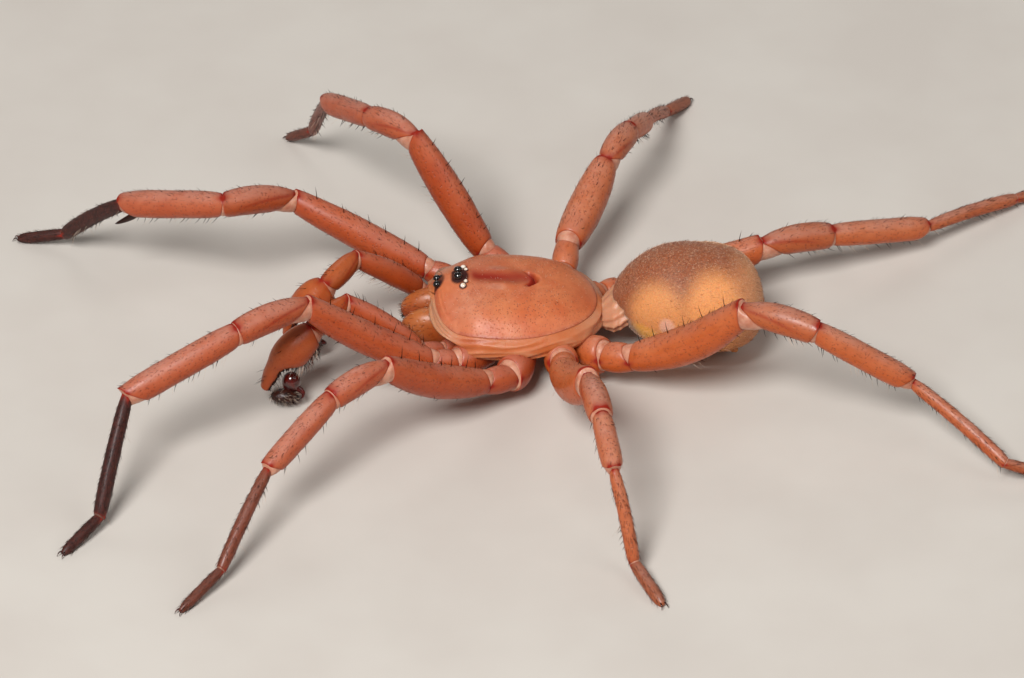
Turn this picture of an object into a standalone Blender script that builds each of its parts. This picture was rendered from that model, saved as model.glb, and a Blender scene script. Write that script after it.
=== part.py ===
"""Still, life-size model of an adult male spurred trapdoor spider.

The animal faces -X, its right side is +Y and +Z is up. Sizes are in millimetres here and
become metres in the meshes. Places are given from the middle of the body on the floor,
and one empty then sets the middle of the whole animal's footprint on the origin.
"""
import math

import bmesh
import bpy
from mathutils import Vector

for old in list(bpy.data.objects):
    bpy.data.objects.remove(old, do_unlink=True)

MM = 0.001
UP = Vector((0.0, 0.0, 1.0))

# Driving dimensions
GAP = 0.1                  # left between two nodes that meet, on an animal 14 mm long
CARAPACE_FRONT = -3.25
CARAPACE_REAR = 3.35
CARAPACE_WIDEST = -0.2
CARAPACE_HALF_WIDTH = 2.82
CARAPACE_RIM_HEIGHT = 2.4
CARAPACE_FLOOR = 2.3
FRONT_SQUARENESS = 2.8     # superellipse exponents of the carapace outline
REAR_SQUARENESS = 2.1
CLYPEUS_RISE = 0.15        # how far the front rim stands above the side rims
# Crown of the carapace, in its rear and front parts: half width that it would reach the rims'
# height at, and how flat its back is
CROWN_REACH = (3.2, 2.6)
CROWN_FLATNESS = (2.8, 2.0)
RIM_SHARPNESS = 8          # the higher, the closer to the rim its flank falls off
BROW_SHARPNESS = 6         # added to that in front of the front eyes
BROW_HALF_WIDTH = 0.7
FOVEA = (0.5, 0.0)
FOVEA_DEPTH = 0.3
FOVEA_REACH = (0.24, 0.32)  # how far the pit spreads lengthwise and sideways

# Sternum: its middle and half sizes in plan, then height and share of that plan up its sides
STERNUM_MIDDLE_X = 0.75
STERNUM_HALF_LENGTH = 2.35
STERNUM_HALF_WIDTH = 1.28
STERNUM_FORM = ((0.82, 0.5), (0.84, 0.9), (1.0, 1.0), (1.4, 0.98))
# Soft sides above it: height and share of the carapace's outline, kept between front and rear
SOFT_SIDES_FORM = ((1.6, 1.02), (1.75, 1.1), (1.95, 1.06), (CARAPACE_FLOOR - GAP, 0.97))
SOFT_SIDES_FRONT = -1.85
SOFT_SIDES_REAR = 2.95

ABDOMEN_MIDDLE = (6.62, 0.0, 2.65)
ABDOMEN_LENGTH = 5.8
ABDOMEN_WIDTH = 4.3
ABDOMEN_HEIGHT = 4.26
ABDOMEN_FRONT_TAPER = 0.26  # share of its width lost at the front
ABDOMEN_FRONT_RISE = 0.06
ABDOMEN_REAR_FULLNESS = 0.2
ABDOMEN_REAR_DROOP = 0.3   # how far its lower rear hangs, and how far it reaches back
ABDOMEN_REAR_REACH = 0.6
ABDOMEN_BLUNTNESS = 0.92   # below 1 the ends are blunter than an ellipsoid's
PEDICEL_START = (3.24, 0.0, 1.85)
PEDICEL_END = (4.5, 0.0, 2.4)
PEDICEL_FORM = ((0.0, 0.5), (0.5, 0.44), (1.0, 0.6))
SPINNERET_BASE = (8.15, 0.0, 0.5)
SPINNERET_BASE_SIZE = (0.42, 0.55, 0.26)
SPINNERETS = ((0.3, 0.6, 0.17), (0.12, 0.42, 0.11))     # place off the midline, length, radius
SPINNERET_FORM = ((0.0, 1.0), (0.45, 0.9), (0.9, 0.72), (1.0, 0.4))
SPINNERET_SPREAD = 0.25

CHELICERA_MIDDLE = (-3.24, 0.64, 1.69)
CHELICERA_SIZE = (1.16, 0.59, 0.85)
CHELICERA_DROP = 0.05      # how far its front end hangs
FANG_ROOT = (-4.15, 0.64, 0.82)
FANG_CURL = 0.75           # radius of its curve
FANG_TURNS = (290, 385)
FANG_THICKNESS = 0.42
FANG_TIP = 0.025

# Each eye's place, radius and rise above the mound; the other side's eye mirrors it
FRONT_MOUND = (-2.96, 0.2, 0.4, 0.1)                    # place, half length, half width, height
FRONT_EYES = ((-2.98, 0.2, 0.13, 0.04),)
REAR_MOUND = (-2.02, 0.36, 0.72, 0.12)
REAR_EYES = ((-2.18, 0.22, 0.13, 0.06), (-1.98, 0.58, 0.12, 0.03), (-1.86, 0.34, 0.09, 0.05))
EYE_BACK_SHARE = 0.3       # how much of a lens's lower half is kept

SPUR_LENGTH = 1.2
SPUR_ROOT_SHARE = 0.87     # how far along the tibia the spur grows
SPUR_FORM = ((0.0, 0.2), (0.45, 0.19), (0.75, 0.15), (1.0, 0.06))
SPUR_AIM = (0.93, -0.42, 0.2)                           # along the tibia, up and to its front side
SPUR_CURVE = 0.1
SPUR_ROOT_DEPTH = 0.34     # of its root below the tibia's middle, and off to its front side
SPUR_ROOT_OFFSET = 0.1

# Palpal organ: places of its pad and bulb from the wrist, with the side's sign for y
PAD_PLACE = (0.6, -0.02, -0.4)
PAD_SIZE = (0.54, 0.32, 0.29)
BULB_PLACE = (0.86, -0.26, 0.1)
BULB_SIZE = (0.36, 0.34, 0.42)
NEEDLE_FORM = ((0.0, 0.2), (0.35, 0.14), (0.7, 0.09), (1.0, 0.04))
NEEDLE_SWEEP = 120
NEEDLE_REACH = (0.34, 0.3, 0.5)

TARSUS_TIP_HEIGHT = 0.13   # middle of a tarsus tip, whose lower side is flat on the floor
COXA_THICKNESS = {1: 1.34, 2: 1.5, 3: 1.42, 4: 1.5}      # by pair of legs
TROCHANTER_THICKNESS = {1: 1.04, 2: 1.12, 3: 1.16, 4: 1.24}
PALP_COXA_THICKNESS = 0.78
PALP_TROCHANTER_THICKNESS = 0.72

SIDE_SHARE = 0.9           # a segment's width, as a share of its height

# Thickness of femur, patella, tibia, metatarsus and tarsus in each pair of legs
LEG_THICKNESS = {
    1: (1.28, 1.14, 1.12, 0.62, 0.46),
    2: (1.34, 1.08, 0.96, 0.53, 0.42),
    3: (1.56, 1.14, 0.92, 0.54, 0.52),
    4: (1.5, 1.16, 1.0, 0.57, 0.46),
}
PATELLA_BOW = 0.12         # how far the middle of a segment stands above its straight line
FOOT_BOW = 0.1
PALP_FEMUR_BOW = 0.1
PALP_TIBIA_BOW = 0.14
LEG_LENGTH = {
    1: (5.9, 3.2, 4.7, 4.6, 2.0),
    2: (5.3, 2.6, 3.7, 4.2, 2.2),
    3: (4.2, 2.25, 2.6, 3.6, 2.1),
    4: (5.65, 2.9, 4.55, 4.8, 2.5),
}
PALP_LENGTH = (3.5, 1.85, 3.0)
PALP_THICKNESS = (0.92, 0.95, 1.36)

# Each limb starts at its coxa's inner end, bends at the two given joints, and then runs
# along headings and pitches in degrees, one for each segment; the last segment of a leg
# comes down to the floor by itself. A heading of 180 is straight ahead. The sag is how far
# the middle of the femur hangs below a straight line between its joints.
LEGS = {
    "left_1": dict(pair=1, coxa=(-0.95, -1.66, 1.2), joint=(-2.3, -2.72, 1.5),
                   sag=0.2, root=(-3.2, -3.05, 1.8),
                   heading=(-166, -143, -153, -109, -129), pitch=(36, 2, -17, -48)),
    "left_2": dict(pair=2, coxa=(0.4, -1.82, 1.2), joint=(-0.2, -3.45, 1.34),
                   sag=0.24, root=(-1.16, -4.18, 1.66),
                   heading=(-143, -141, -131, -118, -130), pitch=(31, -5, -20, -32)),
    "left_3": dict(pair=3, coxa=(1.55, -1.76, 1.2), joint=(1.88, -2.95, 1.6),
                   sag=0.34, root=(1.8, -4.05, 2.1),
                   heading=(-75.5, -77.5, -80.5, -63, -62), pitch=(31, -1, -11, -62)),
    "left_4": dict(pair=4, coxa=(2.55, -1.4, 1.2), joint=(3.46, -2.2, 1.38),
                   sag=0.34, root=(4.5, -2.72, 1.72),
                   heading=(-23.5, -24, 6, -41, 0), pitch=(38, -1, -35.5, -19)),
    "right_1": dict(pair=1, coxa=(-0.95, 1.66, 1.2), joint=(-2.35, 2.7, 1.5),
                    sag=0.0, root=(-3.4, 2.95, 1.8),
                    heading=(167, -148, 152.5, 138.5, 165), pitch=(25, 16, -17.5, -41.5)),
    "right_2": dict(pair=2, coxa=(0.4, 1.82, 1.2), joint=(-0.24, 3.42, 1.36),
                    sag=0.0, root=(-1.2, 4.1, 1.9),
                    heading=(152, 133, 121, 105, 127), pitch=(55, -7, -21, -49)),
    "right_3": dict(pair=3, coxa=(1.55, 1.76, 1.2), joint=(1.9, 3.05, 1.6),
                    sag=0.12, root=(2.05, 4.25, 2.1),
                    heading=(68, 64.5, 72, 74, 62), pitch=(16.5, 4.5, -24, -27)),
    "right_4": dict(pair=4, coxa=(2.55, 1.4, 1.2), joint=(3.35, 2.1, 1.1),
                    sag=0.2, root=(4.2, 2.62, 1.1),
                    heading=(11, 20, 28, 38, 32), pitch=(13, -3, -14, -8)),
}
PALPS = {
    "left": dict(side=-1, coxa=(-2.0, -0.82, 1.05), joint=(-2.78, -1.6, 1.25),
                 root=(-3.66, -1.97, 1.55), heading=(177, 227, 194), pitch=(38, -10, -54)),
    "right": dict(side=1, coxa=(-2.0, 0.82, 1.05), joint=(-2.78, 1.6, 1.25),
                  root=(-3.66, 1.97, 1.55), heading=(203, 236, 168), pitch=(40, -5, -60)),
}

# How thick a segment is along its length, as a share of its thickness
COXA_FORM = ((0.0, 0.7), (0.5, 0.98), (0.8, 1.0), (1.0, 0.84))
TROCHANTER_FORM = ((0.0, 0.9), (0.45, 1.0), (1.0, 0.84))
FEMUR_FORM = ((0.0, 0.74), (0.12, 0.88), (0.4, 1.0), (0.7, 0.95), (0.93, 0.78), (1.0, 0.7))
PATELLA_FORM = ((0.0, 0.64), (0.2, 0.87), (0.5, 1.0), (0.85, 0.97), (1.0, 0.87))
TIBIA_FORM = ((0.0, 0.83), (0.15, 0.96), (0.5, 1.0), (0.85, 0.97), (1.0, 0.83))
METATARSUS_FORM = ((0.0, 0.74), (0.12, 0.92), (0.6, 1.0), (0.9, 0.97), (1.0, 0.82))
TARSUS_FORM = ((0.0, 0.88), (0.2, 1.0), (0.7, 0.97), (0.92, 0.88), (1.0, 0.62))
PALP_TIBIA_FORM = ((0.0, 0.66), (0.14, 0.94), (0.34, 1.06), (0.55, 1.0), (0.7, 0.84), (0.85, 0.74),
                   (1.0, 0.52))
# Scoop under the far end of the palp's tibia: where it starts, where it is full, its depth, and
# how much of that depth the width loses too
PALP_SCOOP = (0.42, 0.68, 0.45)
SCOOP_NARROWING = 0.65


def colour_of(hex_value):
    """Linear colour of an sRGB hex value."""
    channels = [int(hex_value[i:i + 2], 16) / 255 for i in (0, 2, 4)]
    return [c / 12.92 if c <= 0.04045 else ((c + 0.055) / 1.055) ** 2.4 for c in channels]


def material(name, hex_value, roughness):
    """Principled material with one colour."""
    made = bpy.data.materials.new(name)
    made.use_nodes = True
    shader = made.node_tree.nodes["Principled BSDF"]
    shader.inputs["Base Color"].default_value = (*colour_of(hex_value), 1.0)
    shader.inputs["Roughness"].default_value = roughness
    shader.inputs["Metallic"].default_value = 0.0
    return made


# The cuticle is orange-brown, darker towards the front feet
MATERIALS = {
    "carapace_cuticle": material("carapace_cuticle", "B5653A", 0.35),
    "leg_cuticle": material("leg_cuticle", "B4633C", 0.38),
    "dark_cuticle": material("dark_cuticle", "4A2017", 0.36),
    "soft_membrane": material("soft_membrane", "D9A47E", 0.5),
    "abdomen_skin": material("abdomen_skin", "A9794F", 0.7),
    "bulb_cuticle": material("bulb_cuticle", "3A0F0C", 0.2),
    "fang_cuticle": material("fang_cuticle", "2A0C08", 0.22),
    "eye_lens": material("eye_lens", "14100E", 0.1),
}

spider = bpy.data.collections.new("trapdoor_spider")
bpy.context.scene.collection.children.link(spider)
cutters = bpy.data.collections.new("cutters")
bpy.context.scene.collection.children.link(cutters)
footprint = bpy.data.objects.new("footprint_middle", None)
spider.objects.link(footprint)


def add_object(name, mesh, slot=None):
    """Object in the spider's collection, in millimetre places turned to metres."""
    made = bpy.data.objects.new(name, mesh)
    spider.objects.link(made)
    if slot:
        mesh.materials.append(MATERIALS[slot])
    return made


def mesh_from(build, name):
    """Mesh written from a bmesh whose places are in millimetres."""
    bmesh.ops.scale(build, vec=(MM, MM, MM), verts=build.verts)
    bmesh.ops.recalc_face_normals(build, faces=build.faces)
    mesh = bpy.data.meshes.new(name)
    build.to_mesh(mesh)
    build.free()
    mesh.shade_smooth()
    return mesh


def loft(name, rings, slot=None):
    """Closed solid through rings with equal numbers of points."""
    build = bmesh.new()
    loops = [[build.verts.new(point) for point in ring] for ring in rings]
    for first, second in zip(loops, loops[1:]):
        for i in range(len(first)):
            j = (i + 1) % len(first)
            build.faces.new((first[i], first[j], second[j], second[i]))
    build.faces.new(loops[0])
    build.faces.new(loops[-1])
    return add_object(name, mesh_from(build, name), slot)


def shaped_ball(name, segments, rings, place, slot=None):
    """UV sphere whose unit places are moved by a function to their real ones."""
    build = bmesh.new()
    bmesh.ops.create_uvsphere(build, u_segments=segments, v_segments=rings, radius=1.0)
    for vert in build.verts:
        vert.co = place(vert.co.copy())
    return add_object(name, mesh_from(build, name), slot)


def fuse(name, pieces, slot):
    """One Boolean union of closed pieces, keeping only its largest closed surface."""
    base = pieces[0]
    gathered = bpy.data.collections.new(name + "_pieces")
    for piece in pieces[1:]:
        gathered.objects.link(piece)
    union = base.modifiers.new("union", "BOOLEAN")
    union.operation = "UNION"
    union.operand_type = "COLLECTION"
    union.collection = gathered
    union.solver = "EXACT"
    mesh = bpy.data.meshes.new_from_object(base.evaluated_get(bpy.context.evaluated_depsgraph_get()))
    for piece in pieces:
        bpy.data.objects.remove(piece, do_unlink=True)
    bpy.data.collections.remove(gathered)
    return add_object(name, finished(mesh, name), slot)


def cut_clear(name, piece, rooms, slot):
    """The piece with its neighbours' rooms taken out, keeping only its largest closed surface."""
    gathered = bpy.data.collections.new(name + "_rooms")
    cutters.children.link(gathered)
    for room in rooms:
        spider.objects.unlink(room)
        gathered.objects.link(room)
        room.hide_render = True
        room.display_type = "WIRE"
    cut = piece.modifiers.new("room", "BOOLEAN")
    cut.operation = "DIFFERENCE"
    cut.operand_type = "COLLECTION"
    cut.collection = gathered
    cut.solver = "EXACT"
    mesh = bpy.data.meshes.new_from_object(piece.evaluated_get(bpy.context.evaluated_depsgraph_get()))
    for used in [piece, *rooms]:
        bpy.data.objects.remove(used, do_unlink=True)
    bpy.data.collections.remove(gathered)
    return add_object(name, finished(mesh, name), slot)


def finished(mesh, name):
    """A Boolean's mesh as one smooth closed surface with no material yet."""
    keep_largest_surface(mesh)
    mesh.materials.clear()
    mesh.name = name
    mesh.shade_smooth()
    return mesh


def keep_largest_surface(mesh):
    """Drop every closed surface but the largest one."""
    build = bmesh.new()
    build.from_mesh(mesh)
    bmesh.ops.remove_doubles(build, verts=build.verts, dist=1e-7)
    build.faces.ensure_lookup_table()
    unseen = set(build.faces)
    surfaces = []
    while unseen:
        stack = [next(iter(unseen))]
        surface = set(stack)
        while stack:
            for edge in stack.pop().edges:
                for face in edge.link_faces:
                    if face not in surface:
                        surface.add(face)
                        stack.append(face)
        unseen -= surface
        surfaces.append(surface)
    surfaces.sort(key=len)
    for surface in surfaces[:-1]:
        bmesh.ops.delete(build, geom=list(surface), context="FACES")
    bmesh.ops.recalc_face_normals(build, faces=build.faces)
    build.to_mesh(mesh)
    build.free()


def thickness_at(form, along):
    """Share of the thickness at a place along a segment, eased between its stops."""
    for (start, low), (end, high) in zip(form, form[1:]):
        if along <= end:
            share = (along - start) / (end - start)
            return low + (high - low) * share * share * (3 - 2 * share)
    return form[-1][1]


def ring_about(centre, direction, half_width, half_height, sides):
    """Points of an upright ellipse round a segment, and their offsets from its middle."""
    side = direction.cross(UP).normalized()
    upward = side.cross(direction).normalized()
    offsets = []
    for i in range(sides):
        angle = 2 * math.pi * i / sides
        offsets.append(side * (half_width * math.cos(angle)) + upward * (half_height * math.sin(angle)))
    return [centre + offset for offset in offsets], offsets


def segment_rings(start, end, start_normal, end_normal, thickness, form, count,
                  sides=10, bow=0.0, gap_start=GAP / 2, gap_end=GAP / 2, scoop=None):
    """Rings of one segment, mitred at both ends to the planes that its joints lie in."""
    direction = (end - start).normalized()
    first = start + direction * (gap_start / direction.dot(start_normal))
    last = end - direction * (gap_end / direction.dot(end_normal))
    upward = direction.cross(UP).normalized().cross(direction).normalized()
    mitre_reach = 0.35
    rings = []
    for i in range(count):
        along = i / (count - 1)
        half = 0.5 * thickness * thickness_at(form, along)
        lost = scoop[2] * eased(along, scoop[0], scoop[1]) if scoop else 0.0
        lift = upward * (half * lost)
        centre = first.lerp(last, along) + upward * (bow * math.sin(math.pi * along)) + lift
        points, offsets = ring_about(centre, direction, half * SIDE_SHARE * (1 - SCOOP_NARROWING * lost),
                                     half * (1 - lost), sides)
        ring = []
        for point, offset in zip(points, offsets):
            near_start = max(0.0, 1 - along / mitre_reach) ** 2
            near_end = max(0.0, 1 - (1 - along) / mitre_reach) ** 2
            shear = -near_start * (offset + lift).dot(start_normal) / direction.dot(start_normal)
            shear -= near_end * (offset + lift).dot(end_normal) / direction.dot(end_normal)
            ring.append(point + direction * shear)
        rings.append(ring)
    return rings


def bisector(before, joint, after):
    """Normal of the plane that halves a joint's bend."""
    return ((joint - before).normalized() + (after - joint).normalized()).normalized()


def step_along(start, length, heading, pitch):
    """Far end of a segment with this heading and pitch in degrees."""
    turn = math.radians(heading)
    lift = math.radians(pitch)
    level = math.cos(lift)
    return start + Vector((level * math.cos(turn), level * math.sin(turn), math.sin(lift))) * length


def leg_joints(leg):
    """Coxa's inner end, the joints and the tip of a leg."""
    joints = [Vector(leg["coxa"]), Vector(leg["joint"]), Vector(leg["root"])]
    lengths = LEG_LENGTH[leg["pair"]]
    for length, heading, pitch in zip(lengths, leg["heading"], leg["pitch"]):
        joints.append(step_along(joints[-1], length, heading, pitch))
    drop = (joints[-1].z - TARSUS_TIP_HEIGHT) / lengths[-1]
    joints.append(step_along(joints[-1], lengths[-1], leg["heading"][-1], -math.degrees(math.asin(drop))))
    return joints


def joint_normals(joints):
    """Plane normal at each joint; the two ends are cut square."""
    normals = [(joints[1] - joints[0]).normalized()]
    for before, joint, after in zip(joints, joints[1:], joints[2:]):
        normals.append(bisector(before, joint, after))
    normals.append((joints[-1] - joints[-2]).normalized())
    return normals


def on_floor(rings):
    """Rings whose points below the floor are pressed flat on it."""
    return [[Vector((p.x, p.y, max(p.z, 0.0))) for p in ring] for ring in rings]


def coxa_rings(joints, normals, coxa_thickness, trochanter_thickness, clear=0.0):
    """Rings of a coxa and its trochanter, with a waist between them, or clear of them by a distance."""
    coxa = segment_rings(joints[0], joints[1], normals[0], normals[1], coxa_thickness + 2 * clear,
                         COXA_FORM, 5, gap_start=-clear, gap_end=0.0)
    trochanter = segment_rings(joints[1], joints[2], normals[1], normals[2],
                               trochanter_thickness + 2 * clear, TROCHANTER_FORM, 4, gap_start=0.0)
    return coxa + trochanter[1:]


def tibial_spur(name, start, end, prolateral):
    """Stout mating spur under the end of the first tibia."""
    direction = (end - start).normalized()
    side = direction.cross(UP).normalized() * prolateral
    upward = direction.cross(UP).normalized().cross(direction).normalized()
    root = start.lerp(end, SPUR_ROOT_SHARE) - upward * SPUR_ROOT_DEPTH + side * SPUR_ROOT_OFFSET
    aim = (direction * SPUR_AIM[0] + upward * SPUR_AIM[1] + side * SPUR_AIM[2]).normalized()
    rings = []
    for along, half in SPUR_FORM:
        centre = root + aim * (SPUR_LENGTH * along) + upward * (SPUR_CURVE * along * along)
        rings.append(ring_about(centre, aim, half, half, 8)[0])
    return loft(name, rings)


def leg_coxa_rings(leg, clear=0.0):
    """Coxa and trochanter of a leg."""
    joints = leg_joints(leg)
    return coxa_rings(joints, joint_normals(joints), COXA_THICKNESS[leg["pair"]],
                      TROCHANTER_THICKNESS[leg["pair"]], clear)


def palp_joints(palp):
    """Coxa's inner end, the joints and the wrist of a palp."""
    joints = [Vector(palp["coxa"]), Vector(palp["joint"]), Vector(palp["root"])]
    for length, heading, pitch in zip(PALP_LENGTH, palp["heading"], palp["pitch"]):
        joints.append(step_along(joints[-1], length, heading, pitch))
    return joints


def palp_coxa_rings(palp, clear=0.0):
    """Coxa and trochanter of a palp."""
    joints = palp_joints(palp)
    return coxa_rings(joints, joint_normals(joints), PALP_COXA_THICKNESS,
                      PALP_TROCHANTER_THICKNESS, clear)


def build_leg(label, leg):
    """Five solids of one leg, from coxa to tarsus."""
    joints = leg_joints(leg)
    normals = joint_normals(joints)
    femur, patella, tibia, metatarsus, tarsus = LEG_THICKNESS[leg["pair"]]
    prefix = "leg_" + label
    distal = "dark_cuticle" if leg["pair"] == 1 else "leg_cuticle"
    loft(prefix + "_coxa", leg_coxa_rings(leg), "leg_cuticle")
    loft(prefix + "_femur",
         segment_rings(joints[2], joints[3], normals[2], normals[3], femur, FEMUR_FORM, 9,
                       sides=12, bow=-leg["sag"]), "leg_cuticle")
    loft(prefix + "_patella",
         segment_rings(joints[3], joints[4], normals[3], normals[4], patella, PATELLA_FORM, 7,
                       bow=PATELLA_BOW), "leg_cuticle")
    shin = segment_rings(joints[4], joints[5], normals[4], normals[5], tibia, TIBIA_FORM, 7)
    if leg["pair"] == 1:
        prolateral = 1 if label.startswith("left") else -1
        shin_solid = loft(prefix + "_shin", shin)
        spur = tibial_spur(prefix + "_spur", joints[4], joints[5], prolateral)
        fuse(prefix + "_tibia", [shin_solid, spur], "leg_cuticle")
    else:
        loft(prefix + "_tibia", shin, "leg_cuticle")
    foot = segment_rings(joints[5], joints[6], normals[5], normals[6], metatarsus,
                         METATARSUS_FORM, 7, bow=FOOT_BOW, gap_end=0.0)
    foot += segment_rings(joints[6], joints[7], normals[6], normals[7], tarsus,
                          TARSUS_FORM, 7, gap_start=0.0, gap_end=0.0)[1:]
    loft(prefix + "_metatarsus", on_floor(foot), distal)


def ellipsoid(name, middle, size, segments=14, rings=8):
    """Ball stretched to three half sizes."""
    return shaped_ball(name, segments, rings, lambda p: middle + Vector(
        (p.x * size[0], p.y * size[1], p.z * size[2])))


def palp_organ(label, wrist, side, tibia_room):
    """Reflexed pad of the palp with the palpal bulb on it and the bulb's curved tip."""
    mirror = Vector((1.0, side, 1.0))
    bulb_middle = wrist + Vector(BULB_PLACE) * mirror
    needle_rings = []
    for along, half in NEEDLE_FORM:
        centre = bulb_middle + Vector((
            0.16 + NEEDLE_REACH[0] * math.sin(math.radians(NEEDLE_SWEEP * along)),
            NEEDLE_REACH[1] * side * along,
            -0.16 - NEEDLE_REACH[2] * along))
        needle_rings.append(ring_about(centre, Vector((0.4, 0.0, -0.9)).normalized(), half, half, 8)[0])
    organ = fuse("palp_" + label + "_organ", [
        ellipsoid("ball", bulb_middle, BULB_SIZE),
        ellipsoid("pad", wrist + Vector(PAD_PLACE) * mirror, PAD_SIZE),
        loft("needle", needle_rings),
    ], "bulb_cuticle")
    cut_clear("palp_" + label + "_bulb", organ, [tibia_room], "bulb_cuticle")


def build_palp(label, palp):
    """Five solids of one pedipalp, with the swollen tibia of a male."""
    joints = palp_joints(palp)
    normals = joint_normals(joints)
    femur, patella, tibia = PALP_THICKNESS
    prefix = "palp_" + label
    loft(prefix + "_coxa", palp_coxa_rings(palp), "leg_cuticle")
    loft(prefix + "_femur",
         segment_rings(joints[2], joints[3], normals[2], normals[3], femur, FEMUR_FORM, 7,
                       bow=PALP_FEMUR_BOW), "leg_cuticle")
    loft(prefix + "_patella",
         segment_rings(joints[3], joints[4], normals[3], normals[4], patella, PATELLA_FORM, 6),
         "leg_cuticle")
    loft(prefix + "_tibia",
         segment_rings(joints[4], joints[5], normals[4], normals[5], tibia, PALP_TIBIA_FORM, 10,
                       sides=12, bow=PALP_TIBIA_BOW, scoop=PALP_SCOOP), "leg_cuticle")
    tibia_room = loft("tibia_room",
                      segment_rings(joints[4], joints[5], normals[4], normals[5], tibia + 2 * GAP,
                                    PALP_TIBIA_FORM, 10, sides=12, bow=PALP_TIBIA_BOW, gap_end=-GAP / 2,
                                    scoop=PALP_SCOOP))
    palp_organ(label, joints[5], palp["side"], tibia_room)


def outline_share(x, y):
    """0 in the middle of the carapace's plan and 1 on its outline."""
    squareness = FRONT_SQUARENESS if x < CARAPACE_WIDEST else REAR_SQUARENESS
    reach = CARAPACE_WIDEST - CARAPACE_FRONT if x < CARAPACE_WIDEST else CARAPACE_REAR - CARAPACE_WIDEST
    share = abs((x - CARAPACE_WIDEST) / reach) ** squareness
    share += abs(y / CARAPACE_HALF_WIDTH) ** squareness
    return share ** (1 / squareness)


def eased(value, low, high):
    """Smooth step from 0 at low to 1 at high."""
    share = min(1.0, max(0.0, (value - low) / (high - low)))
    return share * share * (3 - 2 * share)


# Height of the carapace's midline above its side rims, from the front edge to the rear
CREST = ((-3.25, 1.2), (-2.9, 1.2), (-2.2, 1.19), (-1.6, 1.2), (-0.6, 1.16), (0.5, 1.1),
         (1.6, 0.95), (2.6, 0.6), (3.35, 0.15))


def crest_height(x):
    """Midline height above the side rims."""
    x = min(max(x, CREST[0][0]), CREST[-1][0])
    for (start, low), (end, high) in zip(CREST, CREST[1:]):
        if x <= end:
            return low + (high - low) * (x - start) / (end - start)
    return CREST[-1][1]


def rim_height(x, y):
    """Height of the carapace's edge, raised over the chelicerae."""
    return CARAPACE_RIM_HEIGHT + CLYPEUS_RISE * eased(-x, 2.2, 3.1) * math.exp(-(y / 1.6) ** 4)


def carapace_top(x, y):
    """Height of the carapace's upper side."""
    rho = min(1.0, outline_share(x, y))
    front = eased(-x, 1.2, 2.6)
    reach = CROWN_REACH[0] + (CROWN_REACH[1] - CROWN_REACH[0]) * front
    flatness = CROWN_FLATNESS[0] + (CROWN_FLATNESS[1] - CROWN_FLATNESS[0]) * front
    sharpness = RIM_SHARPNESS + BROW_SHARPNESS * front * math.exp(-(y / BROW_HALF_WIDTH) ** 2)
    crown = CARAPACE_RIM_HEIGHT + crest_height(x) * (1 - abs(y / reach) ** flatness)
    pit = FOVEA_DEPTH * math.exp(-((x - FOVEA[0]) / FOVEA_REACH[0]) ** 2
                                 - ((y - FOVEA[1]) / FOVEA_REACH[1]) ** 2)
    return crown + (rim_height(x, y) - crown) * rho ** sharpness - pit


def outline_point(turn, share):
    """Plan place at a turn about the carapace's middle and a share of its outline."""
    x = math.cos(turn)
    y = math.sin(turn)
    reach = outline_share(CARAPACE_WIDEST + x, y)
    return CARAPACE_WIDEST + x * share / reach, y * share / reach


def build_carapace():
    """Low domed shield with the deep central pit, flat underneath."""
    def place(unit):
        turn = math.atan2(unit.y, unit.x)
        polar = math.acos(max(-1.0, min(1.0, unit.z))) / (math.pi / 2)
        if polar <= 1.0:
            x, y = outline_point(turn, polar)
            return Vector((x, y, carapace_top(x, y)))
        x, y = outline_point(turn, min(1.0, (2.0 - polar) * 1.12))
        return Vector((x, y, CARAPACE_FLOOR))
    return shaped_ball("carapace", 36, 20, place, "carapace_cuticle")


def build_underside():
    """Sternum, and above it the soft sides that slope out below the carapace."""
    turns = [2 * math.pi * i / 28 for i in range(28)]
    rings = [[Vector((STERNUM_MIDDLE_X + STERNUM_HALF_LENGTH * share * math.cos(turn),
                      STERNUM_HALF_WIDTH * share * math.sin(turn), height)) for turn in turns]
             for height, share in STERNUM_FORM]
    for height, share in SOFT_SIDES_FORM:
        ring = []
        for turn in turns:
            x, y = outline_point(turn, share)
            ring.append(Vector((min(max(x, SOFT_SIDES_FRONT), SOFT_SIDES_REAR), y, height)))
        rings.append(ring)
    rooms = [loft("coxa_room", leg_coxa_rings(leg, GAP)) for leg in LEGS.values()]
    rooms += [loft("palp_room", palp_coxa_rings(palp, GAP)) for palp in PALPS.values()]
    cut_clear("sternum", loft("soft_sides", rings), rooms, "soft_membrane")


def pedicel():
    """Thin waist between the front body and the abdomen."""
    start = Vector(PEDICEL_START)
    end = Vector(PEDICEL_END)
    direction = (end - start).normalized()
    return loft("pedicel", [ring_about(start.lerp(end, along), direction, half, half * 0.8, 12)[0]
                            for along, half in PEDICEL_FORM])


def abdomen_place(unit, clear=0.0):
    """Place on the abdomen, an egg that narrows to the front, or clear of it by a distance."""
    forward = max(0.0, -unit.x)
    behind = max(0.0, unit.x)
    low_rear = behind * max(0.0, -unit.z)
    taper = 1.0 - ABDOMEN_FRONT_TAPER * forward ** 2 + ABDOMEN_REAR_FULLNESS * behind ** 2 * (1 - behind ** 6)
    along = math.copysign(abs(unit.x) ** ABDOMEN_BLUNTNESS, unit.x)
    return Vector(ABDOMEN_MIDDLE) + Vector((
        along * (ABDOMEN_LENGTH / 2 + clear) + ABDOMEN_REAR_REACH * low_rear,
        unit.y * (taper * ABDOMEN_WIDTH / 2 + clear),
        unit.z * (taper * ABDOMEN_HEIGHT / 2 + clear) + ABDOMEN_FRONT_RISE * forward ** 2
        - ABDOMEN_REAR_DROOP * low_rear))


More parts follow.
